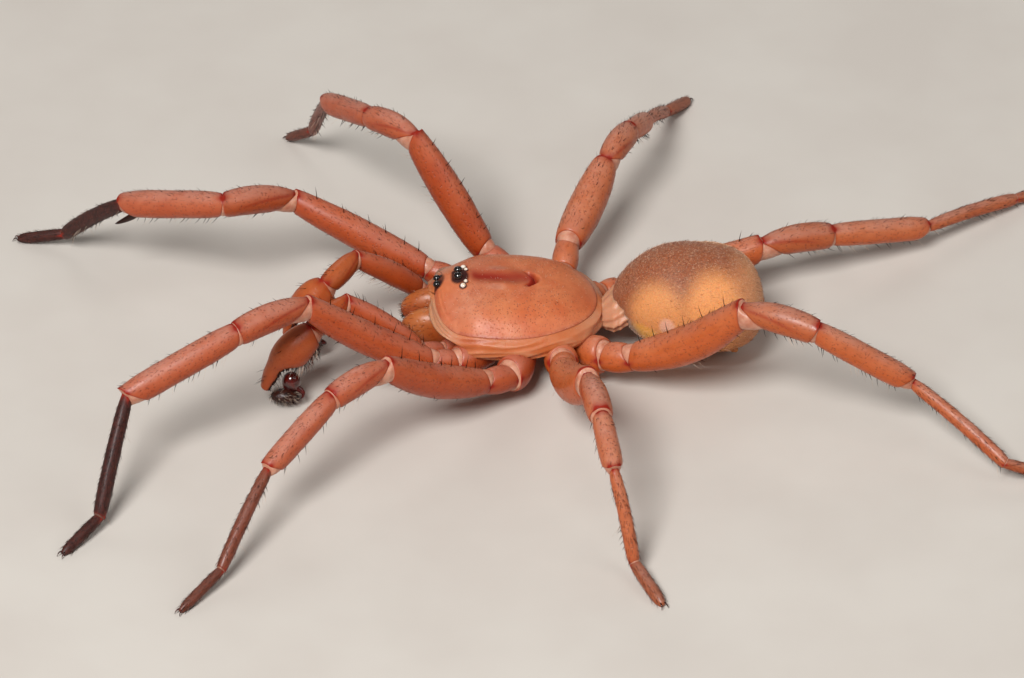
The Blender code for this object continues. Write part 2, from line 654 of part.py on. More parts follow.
def abdomen_egg(name, clear=0.0):
    """The abdomen's egg with its poles in front and behind."""
    return shaped_ball(name, 28, 20, lambda unit: abdomen_place(Vector((unit.z, unit.y, -unit.x)), clear))


def build_abdomen():
    """Soft egg-shaped abdomen with its waist."""
    fuse("abdomen", [abdomen_egg("egg"), pedicel()], "abdomen_skin")


def build_spinnerets():
    """Two pairs of short spinnerets on one base below the abdomen's end."""
    base = Vector(SPINNERET_BASE)
    pieces = [ellipsoid("spinneret_base", base, SPINNERET_BASE_SIZE, 12)]
    for side in (-1, 1):
        outward = Vector((0.8, side * SPINNERET_SPREAD, -0.2)).normalized()
        for place, length, radius in SPINNERETS:
            root = base + Vector((0.0, side * place, 0.0))
            rings = [ring_about(root + outward * (length * along), outward,
                                radius * share, radius * share, 8)[0]
                     for along, share in SPINNERET_FORM]
            pieces.append(loft("spinneret", rings))
    group = fuse("spinneret_group", pieces, "soft_membrane")
    cut_clear("spinnerets", group, [abdomen_egg("abdomen_room", GAP)], "soft_membrane")


def build_chelicera(label, side):
    """Smooth swollen jaw base, cut to follow the carapace's front edge and the palp's coxa."""
    def place(unit):
        fore = max(0.0, -unit.x)
        return Vector((CHELICERA_MIDDLE[0] + unit.x * CHELICERA_SIZE[0],
                       side * CHELICERA_MIDDLE[1] + unit.y * CHELICERA_SIZE[1] * (1 - 0.1 * fore),
                       CHELICERA_MIDDLE[2] + unit.z * CHELICERA_SIZE[2] * (1 - 0.08 * fore)
                       - CHELICERA_DROP * fore))
    hollow = []
    for height in (CARAPACE_FLOOR - GAP, CHELICERA_MIDDLE[2] + 2 * CHELICERA_SIZE[2]):
        ring = []
        for i in range(32):
            turn = 2 * math.pi * i / 32
            x, y = outline_point(turn, 1.0)
            ring.append(Vector((x + GAP * math.cos(turn), y + GAP * math.sin(turn), height)))
        hollow.append(ring)
    cut_clear("chelicera_" + label, shaped_ball("jaw", 20, 14, place),
              [loft("shield_room", hollow), loft("palp_room", palp_coxa_rings(PALPS[label], GAP))],
              "leg_cuticle")


def build_fang(label, side):
    """Curved fang that folds back under its chelicera."""
    first_turn, last_turn = (math.radians(turn) for turn in FANG_TURNS)
    start = Vector((FANG_ROOT[0], side * FANG_ROOT[1], FANG_ROOT[2]))
    across = Vector((0.0, 1.0, 0.0))
    rings = []
    for i in range(8):
        along = i / 7
        turn = first_turn + (last_turn - first_turn) * along
        centre = start + Vector((FANG_CURL * (math.sin(turn) - math.sin(first_turn)), 0.0,
                                 -FANG_CURL * (math.cos(turn) - math.cos(first_turn))))
        upright = across.cross(Vector((math.cos(turn), 0.0, math.sin(turn))))
        half = FANG_THICKNESS / 2 * (1 - along) ** 0.7 + FANG_TIP
        rings.append([centre + across * (half * math.cos(a)) + upright * (half * math.sin(a))
                      for a in (2 * math.pi * k / 10 for k in range(10))])
    loft("fang_" + label, rings, "fang_cuticle")


def eye_mound(name, mound, eyes):
    """Low mound set on the carapace, with its lenses fused on."""
    middle_x, half_length, half_width, height = mound

    def place(unit):
        x = middle_x + unit.x * half_length
        y = unit.y * half_width
        rise = unit.z * height if unit.z > 0 else unit.z * 0.02
        return Vector((x, y, carapace_top(x, y) + GAP + rise))
    pieces = [shaped_ball(name + "_mound", 20, 10, place)]
    for x, y, radius, lift in eyes:
        for side in (-1, 1):
            middle = Vector((x, side * y, carapace_top(x, y) + GAP + lift))
            pieces.append(shaped_ball(name + "_lens", 10, 8, lambda p, m=middle, r=radius: (
                m + Vector((p.x, p.y, p.z if p.z > 0 else p.z * EYE_BACK_SHARE)) * r)))
    fuse(name, pieces, "eye_lens")


def build_eyes():
    """Front pair on the edge, and the compact group of six behind it."""
    eye_mound("eyes_front", FRONT_MOUND, FRONT_EYES)
    eye_mound("eyes_rear", REAR_MOUND, REAR_EYES)


def centre_on_origin():
    """Move the empty so that the footprint's middle is on the origin."""
    lows = [math.inf] * 3
    highs = [-math.inf] * 3
    solids = [thing for thing in spider.objects if thing.type == "MESH"]
    for solid in solids:
        for vert in solid.data.vertices:
            for axis in range(3):
                lows[axis] = min(lows[axis], vert.co[axis])
                highs[axis] = max(highs[axis], vert.co[axis])
    footprint.location = (-(lows[0] + highs[0]) / 2, -(lows[1] + highs[1]) / 2, -lows[2])
    for solid in solids:
        solid.parent = footprint


build_carapace()
build_underside()
build_abdomen()
build_spinnerets()
build_eyes()
for side_name, side_sign in (("left", -1), ("right", 1)):
    build_chelicera(side_name, side_sign)
    build_fang(side_name, side_sign)
for palp_name, palp_pose in PALPS.items():
    build_palp(palp_name, palp_pose)
for leg_name, leg_pose in LEGS.items():
    build_leg(leg_name, leg_pose)
centre_on_origin()
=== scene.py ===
"""Looks of the life-size museum model of an adult male spurred trapdoor spider.

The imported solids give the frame. Finer skins take their place: shield, soft sides, jaws, eyes,
legs, palps and abdomen, with the bristles and hair that grow on them. Sizes and places are in
millimetres from the middle of the body on the floor, with the head towards -X.
"""
import math
import random

import bpy
import numpy as np
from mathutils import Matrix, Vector, noise


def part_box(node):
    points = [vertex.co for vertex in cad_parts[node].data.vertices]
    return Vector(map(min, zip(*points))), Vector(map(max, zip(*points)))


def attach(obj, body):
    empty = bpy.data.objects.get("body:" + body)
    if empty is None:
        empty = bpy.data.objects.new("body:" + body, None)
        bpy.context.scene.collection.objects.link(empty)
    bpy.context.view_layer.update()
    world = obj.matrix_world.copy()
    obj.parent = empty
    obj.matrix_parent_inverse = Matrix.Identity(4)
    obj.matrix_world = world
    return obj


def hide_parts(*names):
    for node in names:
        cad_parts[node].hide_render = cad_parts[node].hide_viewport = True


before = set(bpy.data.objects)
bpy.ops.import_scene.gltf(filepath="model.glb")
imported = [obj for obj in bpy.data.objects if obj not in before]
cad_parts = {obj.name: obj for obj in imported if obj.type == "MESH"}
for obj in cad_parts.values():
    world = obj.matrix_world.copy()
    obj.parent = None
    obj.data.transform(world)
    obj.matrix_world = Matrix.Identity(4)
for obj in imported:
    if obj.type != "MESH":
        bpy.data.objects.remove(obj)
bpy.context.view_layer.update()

MM = 0.001
UP = Vector((0.0, 0.0, 1.0))

# The shield's front edge and midline in the frame say where the body's middle is
CARAPACE_FRONT = -3.25
shield_low, shield_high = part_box("carapace")
BODY_MIDDLE = Vector((shield_low[0] - CARAPACE_FRONT * MM, (shield_low[1] + shield_high[1]) / 2, 0.0))

# Camera, fitted to the photograph: what it aims at, how far off it stands and how large it sees
PHOTO_WIDTH = 1024
CAMERA_AIM = (-0.11, -2.55, 2.5)
CAMERA_ELEVATION = 36.4
CAMERA_DISTANCE = 220.0
PIXELS_PER_MM = 26.3

# Body, mostly as in the solids; the pit lies 0.2 mm further back here, as the photo shows it
CARAPACE_REAR = 3.35
CARAPACE_WIDEST = -0.2
CARAPACE_HALF_WIDTH = 2.82
CARAPACE_RIM_HEIGHT = 2.4
CARAPACE_FLOOR = 2.3
FRONT_SQUARENESS = 2.8
REAR_SQUARENESS = 2.1
CLYPEUS_RISE = 0.15
CROWN_REACH = (3.2, 2.6)
CROWN_FLATNESS = (2.8, 2.0)
RIM_SHARPNESS = 8
BROW_SHARPNESS = 6
BROW_HALF_WIDTH = 0.7
CREST = ((-3.25, 1.2), (-2.9, 1.2), (-2.2, 1.19), (-1.6, 1.2), (-0.6, 1.16), (0.5, 1.1),
         (1.6, 0.95), (2.6, 0.6), (3.35, 0.15))
FOVEA_X = 0.8
FOVEA_HALF_WIDTH = 0.42
FOVEA_CURVE = 0.3
FOVEA_DEPTH = 0.26
FOVEA_WIDTH = 0.1
STERNUM_MIDDLE_X = 0.75
STERNUM_HALF_LENGTH = 2.35
STERNUM_HALF_WIDTH = 1.28
ABDOMEN_MIDDLE = (6.62, 0.0, 2.65)
ABDOMEN_SIZE = (5.8, 4.3, 4.26)
ABDOMEN_FRONT_TAPER = 0.26
ABDOMEN_FRONT_RISE = 0.06
ABDOMEN_REAR_FULLNESS = 0.2
ABDOMEN_REAR_DROOP = 0.3
ABDOMEN_REAR_REACH = 0.6

# Limbs: thickness, length and pose of each segment, as in the solids
SIDE_SHARE = 0.9
TARSUS_TIP_HEIGHT = 0.13
COXA_THICKNESS = {1: 1.34, 2: 1.5, 3: 1.42, 4: 1.5}
TROCHANTER_THICKNESS = {1: 1.04, 2: 1.12, 3: 1.16, 4: 1.24}
LEG_THICKNESS = {
    1: (1.28, 1.14, 1.12, 0.62, 0.46),
    2: (1.34, 1.08, 0.96, 0.53, 0.42),
    3: (1.56, 1.14, 0.92, 0.54, 0.52),
    4: (1.5, 1.16, 1.0, 0.57, 0.46),
}
LEG_LENGTH = {
    1: (5.9, 3.2, 4.7, 4.6, 2.0),
    2: (5.3, 2.6, 3.7, 4.2, 2.2),
    3: (4.2, 2.25, 2.6, 3.6, 2.1),
    4: (5.65, 2.9, 4.55, 4.8, 2.5),
}
PATELLA_BOW = 0.12
FOOT_BOW = 0.1
PALP_FEMUR_BOW = 0.1
PALP_TIBIA_BOW = 0.14
LEGS = {
    "left_1": dict(pair=1, coxa=(-0.95, -1.66, 1.2), joint=(-2.3, -2.72, 1.5),
                   sag=0.2, root=(-3.2, -3.05, 1.8),
                   heading=(-166, -143, -153, -109, -129), pitch=(36, 2, -17, -48)),
    "left_2": dict(pair=2, coxa=(0.4, -1.82, 1.2), joint=(-0.2, -3.45, 1.34),
                   sag=0.24, root=(-1.16, -4.18, 1.66),
                   heading=(-143, -141, -131, -118, -130), pitch=(31, -5, -20, -32)),
    "left_3": dict(pair=3, coxa=(1.55, -1.76, 1.2), joint=(1.88, -2.95, 1.6),
                   sag=0.34, root=(1.8, -4.05, 2.1),
                   heading=(-75.5, -77.5, -80.5, -63, -62), pitch=(31, -1, -11, -62)),
    "left_4": dict(pair=4, coxa=(2.55, -1.4, 1.2), joint=(3.46, -2.2, 1.38),
                   sag=0.34, root=(4.5, -2.72, 1.72),
                   heading=(-23.5, -24, 6, -41, 0), pitch=(38, -1, -35.5, -19)),
    "right_1": dict(pair=1, coxa=(-0.95, 1.66, 1.2), joint=(-2.35, 2.7, 1.5),
                    sag=0.0, root=(-3.4, 2.95, 1.8),
                    heading=(167, -148, 152.5, 138.5, 165), pitch=(25, 16, -17.5, -41.5)),
    "right_2": dict(pair=2, coxa=(0.4, 1.82, 1.2), joint=(-0.24, 3.42, 1.36),
                    sag=0.0, root=(-1.2, 4.1, 1.9),
                    heading=(152, 133, 121, 105, 127), pitch=(55, -7, -21, -49)),
    "right_3": dict(pair=3, coxa=(1.55, 1.76, 1.2), joint=(1.9, 3.05, 1.6),
                    sag=0.12, root=(2.05, 4.25, 2.1),
                    heading=(68, 64.5, 72, 74, 62), pitch=(16.5, 4.5, -24, -27)),
    "right_4": dict(pair=4, coxa=(2.55, 1.4, 1.2), joint=(3.35, 2.1, 1.1),
                    sag=0.2, root=(4.2, 2.62, 1.1),
                    heading=(11, 20, 28, 38, 32), pitch=(13, -3, -14, -8)),
}
PALP_LENGTH = (3.5, 1.85, 3.0)
PALP_THICKNESS = (0.78, 0.72, 0.92, 0.95, 1.36)
PALPS = {
    "left": dict(side=-1, coxa=(-2.0, -0.82, 1.05), joint=(-2.78, -1.6, 1.25),
                 root=(-3.66, -1.97, 1.55), heading=(177, 227, 194), pitch=(38, -10, -54)),
    "right": dict(side=1, coxa=(-2.0, 0.82, 1.05), joint=(-2.78, 1.6, 1.25),
                  root=(-3.66, 1.97, 1.55), heading=(203, 236, 168), pitch=(40, -5, -60)),
}
# How thick a segment is along its length, as a share of its thickness
COXA_FORM = ((0.0, 0.7), (0.5, 0.98), (0.8, 1.0), (1.0, 0.84))
TROCHANTER_FORM = ((0.0, 0.9), (0.45, 1.0), (1.0, 0.84))
FEMUR_FORM = ((0.0, 0.74), (0.12, 0.88), (0.4, 1.0), (0.7, 0.95), (0.93, 0.78), (1.0, 0.7))
PATELLA_FORM = ((0.0, 0.64), (0.2, 0.87), (0.5, 1.0), (0.85, 0.97), (1.0, 0.87))
TIBIA_FORM = ((0.0, 0.83), (0.15, 0.96), (0.5, 1.0), (0.85, 0.97), (1.0, 0.83))
METATARSUS_FORM = ((0.0, 0.74), (0.12, 0.92), (0.6, 1.0), (0.9, 0.97), (1.0, 0.82))
TARSUS_FORM = ((0.0, 0.88), (0.2, 1.0), (0.7, 0.97), (0.92, 0.88), (1.0, 0.62))
PALP_TIBIA_FORM = ((0.0, 0.66), (0.14, 0.94), (0.34, 1.06), (0.55, 1.0), (0.7, 0.84), (0.85, 0.74),
                   (1.0, 0.52))
# How far metatarsus and tarsus of each pair turn from orange-brown to black-brown
FOOT_DARKNESS = {1: (0.97, 0.95), 2: (0.62, 0.75), 3: (0.12, 0.4), 4: (0.12, 0.35)}
PATELLA_DARKNESS = {1: 0.0, 2: 0.0, 3: 0.1, 4: 0.16}
# Scoop under the far end of the palp's tibia: where it starts, where it is full, and its depth
PALP_SCOOP = (0.42, 0.68, 0.45)
# Each joint: how high on the limb its hinge lies, from -1 below to 1 on top, then how steeply the
# hard edge before it and the one after it draw back above and below the hinge
LEG_JOINTS = (
    (0.15, (0.24, 0.1), (0.24, 0.1)),
    (0.05, (0.36, 0.05), (0.46, 0.05)),
    (0.86, (0.7, 0.22), (0.7, 1.3)),
    (0.88, (0.1, 0.1), (0.1, 0.16)),
    (0.8, (0.35, 0.5), (0.3, 0.5)),
    (0.2, (0.06, 0.04), (0.06, 0.04)),
)
PALP_JOINTS = (
    (0.15, (0.24, 0.1), (0.24, 0.1)),
    (0.05, (0.3, 0.05), (0.3, 0.05)),
    (0.84, (0.5, 0.2), (0.5, 0.8)),
    (0.8, (0.15, 0.16), (0.15, 0.3)),
)


def to_world(point):
    """Place in the frame, in metres, of a place on the body in millimetres."""
    return BODY_MIDDLE + Vector(point) * MM


def around(count):
    """Turns of this many points evenly round an axis."""
    return [2 * math.pi * i / count for i in range(count)]


def pole_to_pole(rows, gap):
    """Angles from one pole of an ellipsoid to the other, this many degrees short of both."""
    return [math.radians(gap + (180 - 2 * gap) * i / rows) for i in range(rows + 1)]


def scaled(direction, size):
    """Vector with each of its parts multiplied by the size along it."""
    return Vector(part * reach for part, reach in zip(direction, size))


def smooth_at(stops, place):
    """Value of a smooth curve through (place, value) stops."""
    place = min(max(place, stops[0][0]), stops[-1][0])
    for i in range(len(stops) - 1):
        (x0, y0), (x1, y1) = stops[i], stops[i + 1]
        if place <= x1:
            before, after = stops[max(i - 1, 0)], stops[min(i + 2, len(stops) - 1)]
            slope0 = (y1 - before[1]) / (x1 - before[0])
            slope1 = (after[1] - y0) / (after[0] - x0)
            span = x1 - x0
            t = (place - x0) / span
            rise = t * t * (3 - 2 * t)
            return (y0 + (y1 - y0) * rise + span * (slope0 * t * (1 - t) ** 2 - slope1 * t * t * (1 - t)))
    return stops[-1][1]


def eased(value, low, high):
    """Smooth step from 0 at low to 1 at high."""
    share = min(1.0, max(0.0, (value - low) / (high - low)))
    return share * share * (3 - 2 * share)


def bell(value, middle, width):
    """1 at the middle, falling off smoothly over the width."""
    return math.exp(-((value - middle) / width) ** 2)


def linear(hex_value):
    """Linear colour of an sRGB hex value."""
    channels = [int(hex_value[i:i + 2], 16) / 255 for i in (0, 2, 4)]
    return (*[c / 12.92 if c <= 0.04045 else ((c + 0.055) / 1.055) ** 2.4 for c in channels], 1.0)


def add_node(tree, kind, settings=None, links=None):
    """A node with its settings, by attribute or socket, and the links into its sockets."""
    node = tree.nodes.new(kind)
    for key, value in (settings or {}).items():
        if isinstance(key, str) and hasattr(node, key):
            setattr(node, key, value)
        else:
            node.inputs[key].default_value = value
    for key, socket in (links or {}).items():
        tree.links.new(socket, node.inputs[key])
    return node


def start_material(name, **values):
    """Material of something that isn't metal: its values that are the same all over, and the place."""
    made = bpy.data.materials.new(name)
    made.use_nodes = True
    tree = made.node_tree
    shader = tree.nodes["Principled BSDF"]
    for socket, value in dict(values, Metallic=0.0).items():
        shader.inputs[socket.replace("_", " ")].default_value = value
    return made, tree, shader, add_node(tree, "ShaderNodeTexCoord").outputs["Object"]


def layered(tree, tint, *layers):
    """Colour with others laid over it, each by a share; a colour is an sRGB hex value or a socket."""
    for share, colour in layers:
        node = add_node(tree, "ShaderNodeMix", {"data_type": "RGBA"}, {0: share})
        for index, part in ((6, tint), (7, colour)):
            if isinstance(part, str):
                node.inputs[index].default_value = linear(part)
            else:
                tree.links.new(part, node.inputs[index])
        tint = node.outputs[2]
    return tint


def per_metre(size_mm):
    """Texture scale for a pattern whose cells are this many millimetres across."""
    return 1 / (size_mm * MM)


def noise_share(tree, place, size_mm, low=0.35, high=0.65, most=1.0):
    """Share from 0 to the most that wanders over the surface with lumps of this size."""
    wander = add_node(tree, "ShaderNodeTexNoise", {"Scale": per_metre(size_mm), "Detail": 3.0},
                      {"Vector": place})
    return add_node(tree, "ShaderNodeMapRange", {1: low, 2: high, 4: most},
                    {0: wander.outputs[0]}).outputs[0]


def blotch(tree, place, middle, size, soft=0.5):
    """Share that is 1 inside an ellipsoid on the body and fades to 0 past its edge."""
    for operation, value in (("SUBTRACT", to_world(middle)), ("DIVIDE", Vector(size) * MM)):
        place = add_node(tree, "ShaderNodeVectorMath", {"operation": operation, 1: value},
                         {0: place}).outputs[0]
    reach = add_node(tree, "ShaderNodeVectorMath", {"operation": "LENGTH"}, {0: place})
    return add_node(tree, "ShaderNodeMapRange",
                    {"interpolation_type": "SMOOTHSTEP", 1: 1 - soft, 2: 1 + soft, 3: 1.0, 4: 0.0},
                    {0: reach.outputs["Value"]}).outputs[0]


def cuticle(name, base, light, painted_shade_colour, pit_size=0.17, pit_strength=0.5, coat=0.1, painted_sheen=0.0):
    """Chitin: hard, smooth arthropod cuticle, slightly see-through, with hair-root pits.

    The zones painted on each skin are read here: red says soft joint skin, green the dark
    red sclerotised rims, blue how black-brown the cuticle is, and alpha how pitted. On the shield
    red also paints a highlight, and green also paints shade beside the groove.
    """
    made, tree, shader, place = start_material(
        name, IOR=1.54, Subsurface_Weight=0.18, Subsurface_Scale=0.0005,
        Subsurface_Radius=(1.0, 0.36, 0.18), Coat_Weight=coat, Coat_Roughness=0.25,
        Specular_IOR_Level=0.33)
    zones = add_node(tree, "ShaderNodeAttribute", {"attribute_name": "zones"})
    parts = add_node(tree, "ShaderNodeSeparateColor", links={0: zones.outputs["Color"]})
    soft, rim, dark = (parts.outputs[i] for i in range(3))

    # Painted shade, deeper orange, where it faces down; a painted pinkish sheen in clouds where it faces up
    facing = add_node(tree, "ShaderNodeSeparateXYZ",
                      links={0: add_node(tree, "ShaderNodeNewGeometry").outputs["Normal"]}).outputs[2]
    lower = add_node(tree, "ShaderNodeMapRange",
                     {"interpolation_type": "SMOOTHSTEP", 1: 0.75, 2: -0.35, 3: 0.0, 4: 0.85}, {0: facing})
    upper = add_node(tree, "ShaderNodeMapRange",
                     {"interpolation_type": "SMOOTHSTEP", 1: 0.3, 2: 0.95, 3: 0.0, 4: painted_sheen}, {0: facing})
    painted_sheen_share = add_node(tree, "ShaderNodeMath", {"operation": "MULTIPLY"},
                        {0: upper.outputs[0], 1: noise_share(tree, place, 0.9, 0.2, 0.6)})
    # Hair-root pits: small dark punctures, 0.1 to 0.2 mm apart
    cells = add_node(tree, "ShaderNodeTexVoronoi", {"Scale": per_metre(pit_size)}, {"Vector": place})
    dots = add_node(tree, "ShaderNodeMapRange", {1: 0.16, 2: 0.3, 3: 1.0, 4: 0.0},
                    {0: cells.outputs["Distance"]})
    pits = add_node(tree, "ShaderNodeMath", {"operation": "MULTIPLY"},
                    {0: dots.outputs[0], 1: zones.outputs["Alpha"]}).outputs[0]
    pitting = add_node(tree, "ShaderNodeMath", {"operation": "MULTIPLY", 1: pit_strength}, {0: pits})
    # Soft skin is pinkish and pale, rims dark red, feet black-brown; on the shield also painted highlight and
    # shade
    pale = layered(tree, "B9745A", (noise_share(tree, place, 0.3), "D0967C"))
    blackish = layered(tree, "200605", (noise_share(tree, place, 0.12), "401510"))
    # The tint takes the painted shade below and the painted sheen above
    tint = layered(tree, base, (noise_share(tree, place, 1.1), light), (lower.outputs[0], painted_shade_colour),
                   (painted_sheen_share.outputs[0], "C49484"), (noise_share(tree, place, 0.22, most=0.16), "8E3F1E"),
                   (pitting.outputs[0], "6B2412"), (soft, pale), (dark, blackish), (rim, "8E1A02"))
    tree.links.new(tint, shader.inputs["Base Color"])

    # Rims and black-brown feet are duller than the rest
    rough = add_node(tree, "ShaderNodeMapRange", {1: 0.0, 2: 1.0, 3: 0.34, 4: 0.46},
                     {0: noise_share(tree, place, 0.4)}).outputs[0]
    for zone, least in ((rim, 0.7), (dark, 0.62)):
        dull = add_node(tree, "ShaderNodeMath", {"operation": "MULTIPLY", 1: least}, {0: zone})
        rough = add_node(tree, "ShaderNodeMath", {"operation": "MAXIMUM"},
                         {0: rough, 1: dull.outputs[0]}).outputs[0]
    tree.links.new(rough, shader.inputs["Roughness"])
    grain = add_node(tree, "ShaderNodeTexNoise", {"Scale": per_metre(0.06), "Detail": 4.0},
                     {"Vector": place})
    fine = add_node(tree, "ShaderNodeBump", {"Strength": 0.22, "Distance": 0.00003},
                    {"Height": grain.outputs[0]})
    sunk = add_node(tree, "ShaderNodeBump", {"Strength": 0.5, "Distance": 0.00003, "invert": True},
                    {"Height": pits, "Normal": fine.outputs[0]})
    tree.links.new(sunk.outputs[0], shader.inputs["Normal"])
    return made


def soft_skin():
    """Pleural skin between the hard plates: unhardened, pale peach, satin and finely creased."""
    made, tree, shader, place = start_material(
        "soft_pleural_skin", IOR=1.45, Roughness=0.42, Subsurface_Weight=0.35, Subsurface_Scale=0.0006,
        Subsurface_Radius=(1.0, 0.4, 0.22))
    zones = add_node(tree, "ShaderNodeAttribute", {"attribute_name": "zones"})
    parts = add_node(tree, "ShaderNodeSeparateColor", links={0: zones.outputs["Color"]})
    # Green zone darkens the creases as painted shade; blue zone whitens the skin's own pale parts, and paints
    # a highlight on the folds' ridges
    tint = layered(tree, "BE6736", (noise_share(tree, place, 0.7), "C67346"),
                   (parts.outputs[1], "A8492A"), (parts.outputs[2], "CC9474"))
    tree.links.new(tint, shader.inputs["Base Color"])
    creases = add_node(tree, "ShaderNodeTexNoise", {"Scale": per_metre(0.16), "Detail": 3.0,
                                                    "Distortion": 0.6}, {"Vector": place})
    bump = add_node(tree, "ShaderNodeBump", {"Strength": 0.3, "Distance": 0.00005},
                    {"Height": creases.outputs[0]})
    tree.links.new(bump.outputs[0], shader.inputs["Normal"])
    return made


# Markings of the left flank, mirrored on the right: place, size, how soft the edge is, colour
FLANK_MARKINGS = (
    ((5.45, -1.75, 2.75), (1.15, 1.35, 1.45), 0.35, "E0975A"),
    ((7.65, -1.85, 3.05), (1.25, 1.5, 1.7), 0.35, "E89C5C"),
    ((5.8, -1.95, 2.7), (0.3, 0.5, 0.34), 0.3, "E8B294"),
    ((4.9, -1.6, 2.05), (0.6, 0.6, 0.42), 0.4, "F0B050"),
)


def abdomen_markings(tree, place):
    """Colour of the abdomen: mauve-brown above, yellow-orange flanks, whitish in front."""
    tint = layered(tree, "A65C36", (noise_share(tree, place, 0.5), "A86848"),
                   (noise_share(tree, place, 0.09, most=0.55), "6E3A24"),
                   (noise_share(tree, place, 0.07, 0.58, 0.7, 0.5), "E0B090"),
                   (blotch(tree, place, (6.6, 0.0, 1.0), (3.2, 2.4, 1.5), 0.5), "D98A4E"))
    for (x, y, z), size, soft, colour in FLANK_MARKINGS:
        for side in (1, -1):
            tint = layered(tree, tint, (blotch(tree, place, (x, y * side, z), size, soft), colour))
    return layered(tree, tint,
                   (blotch(tree, place, (9.2, 0.0, 3.1), (1.2, 2.1, 1.5), 0.5), "D49060"),
                   (blotch(tree, place, (4.15, 0.0, 1.75), (0.75, 1.9, 0.75), 0.4), "A88E7C"),
                   (blotch(tree, place, (4.0, 0.0, 1.7), (0.6, 1.5, 0.65), 0.5), "D0AE98"))


def abdomen_skin():
    """Soft abdominal skin: leathery, matt and finely wrinkled under a short velvety pile."""
    made, tree, shader, place = start_material(
        "abdominal_skin", IOR=1.45, Roughness=0.62, Subsurface_Weight=0.3, Subsurface_Scale=0.0007,
        Subsurface_Radius=(1.0, 0.42, 0.2), Sheen_Weight=0.06, Sheen_Roughness=0.4)
    # Velvet: hair roots about 0.06 mm apart, darker between
    speckle = add_node(tree, "ShaderNodeTexNoise", {"Scale": per_metre(0.06), "Detail": 2.0},
                       {"Vector": place})
    share = add_node(tree, "ShaderNodeMapRange", {1: 0.42, 2: 0.65, 3: 0.0, 4: 0.16},
                     {0: speckle.outputs[0]})
    tint = layered(tree, abdomen_markings(tree, place), (share.outputs[0], "6B3A26"))
    tree.links.new(tint, shader.inputs["Base Color"])
    bump = add_node(tree, "ShaderNodeBump", {"Strength": 0.5, "Distance": 0.00005},
                    {"Height": speckle.outputs[0]})
    tree.links.new(bump.outputs[0], shader.inputs["Normal"])
    return made


def velvet_hair():
    """Fine abdominal pile: pale translucent hair that takes the colour of the skin below."""
    made, tree, shader, place = start_material("velvet_hair", IOR=1.55, Roughness=0.45)
    tint = layered(tree, abdomen_markings(tree, place),
                   (noise_share(tree, place, 0.15, most=0.6), "F8DCC0"))
    tree.links.new(tint, shader.inputs["Base Color"])
    return made


def two_tone(name, size_mm, base, light, **values):
    """Material whose colour wanders between two, in lumps of this size."""
    made, tree, shader, place = start_material(name, **values)
    tree.links.new(layered(tree, base, (noise_share(tree, place, size_mm), light)),
                   shader.inputs["Base Color"])
    return made, tree, shader, place


def hair(name, root, tip_colour):
    """Solid chitin hair with a little variation from hair to hair."""
    return two_tone(name, 0.2, root, tip_colour, IOR=1.55, Roughness=0.35, Specular_IOR_Level=0.25)[0]


def glossy_cuticle(name, base, light, roughness):
    """Thick, fully hardened cuticle of fangs, claws and the palpal bulb, almost enamel."""
    made, tree, shader, place = two_tone(name, 0.3, base, light, IOR=1.57, Roughness=roughness,
                                         Coat_Weight=0.5, Coat_Roughness=0.08)
    streaks = add_node(tree, "ShaderNodeTexNoise", {"Scale": per_metre(0.1), "Detail": 3.0},
                       {"Vector": place})
    bump = add_node(tree, "ShaderNodeBump", {"Strength": 0.15, "Distance": 0.00003},
                    {"Height": streaks.outputs[0]})
    tree.links.new(bump.outputs[0], shader.inputs["Normal"])
    return made


def lens(name, base, light):
    """Corneal lens of an eye: clear, hard and wet-looking over its pigment."""
    return two_tone(name, 0.12, base, light, IOR=1.5, Roughness=0.12, Coat_Weight=1.0,
                    Coat_Roughness=0.03)[0]


# Each cuticle's third colour is painted shade where it faces down; the limbs' last number is their share of
# painted sheen
FINISHES = {
    "shield": cuticle("carapace_chitin", "C8683E", "D37C50", "B85A30", 0.1, 0.65, 0.04),
    "front_femur": cuticle("front_femur_chitin", "AC4C2A", "B85A34", "A43C06", 0.14, 0.5, 0.1, 0.3),
    "rear_femur": cuticle("rear_femur_chitin", "BC6034", "C87044", "BC500C", 0.14, 0.5, 0.1, 0.3),
    "front_limb": cuticle("front_leg_chitin", "B0583A", "BA6646", "AC420A", 0.14, 0.5, 0.1, 0.42),
    "rear_limb": cuticle("rear_leg_chitin", "BC643E", "C6744E", "C0540E", 0.14, 0.5, 0.1, 0.48),
    "jaw": cuticle("chelicera_chitin", "A85626", "B66A38", "9E4818", 0.2, 0.3),
    "palp": cuticle("palp_chitin", "A64A20", "B25A2E", "9A3C06", 0.2, 0.3, 0.02),
    "pad": cuticle("palpal_pad_chitin", "1E0C08", "33150F", "160806", 0.1, 0.3),
    "soft": soft_skin(),
    "abdomen": abdomen_skin(),
    "velvet": velvet_hair(),
    "black": hair("black_bristle", "160704", "32120A"),
    "brown": hair("brown_hair", "5A2A1A", "7C4028"),
    "pale": hair("pale_hair", "C9A78C", "E6D3C0"),
    "bulb": glossy_cuticle("palpal_bulb_chitin", "2A0706", "5E120C", 0.16),
    "fang": glossy_cuticle("fang_chitin", "1C0605", "4A1009", 0.18),
    "dark_lens": lens("dark_lens", "070505", "120B09"),
    # Rear lenses: amber, lightened to cream and near white as a painted highlight
    "amber_lens_painted_glint": lens("amber_lens_painted_glint", "E2C8A8", "FFF8EE"),
}


def linked(name, data):
    """Object with this data, in the scene."""
    made = bpy.data.objects.new(name, data)
    bpy.context.scene.collection.objects.link(made)
    return made


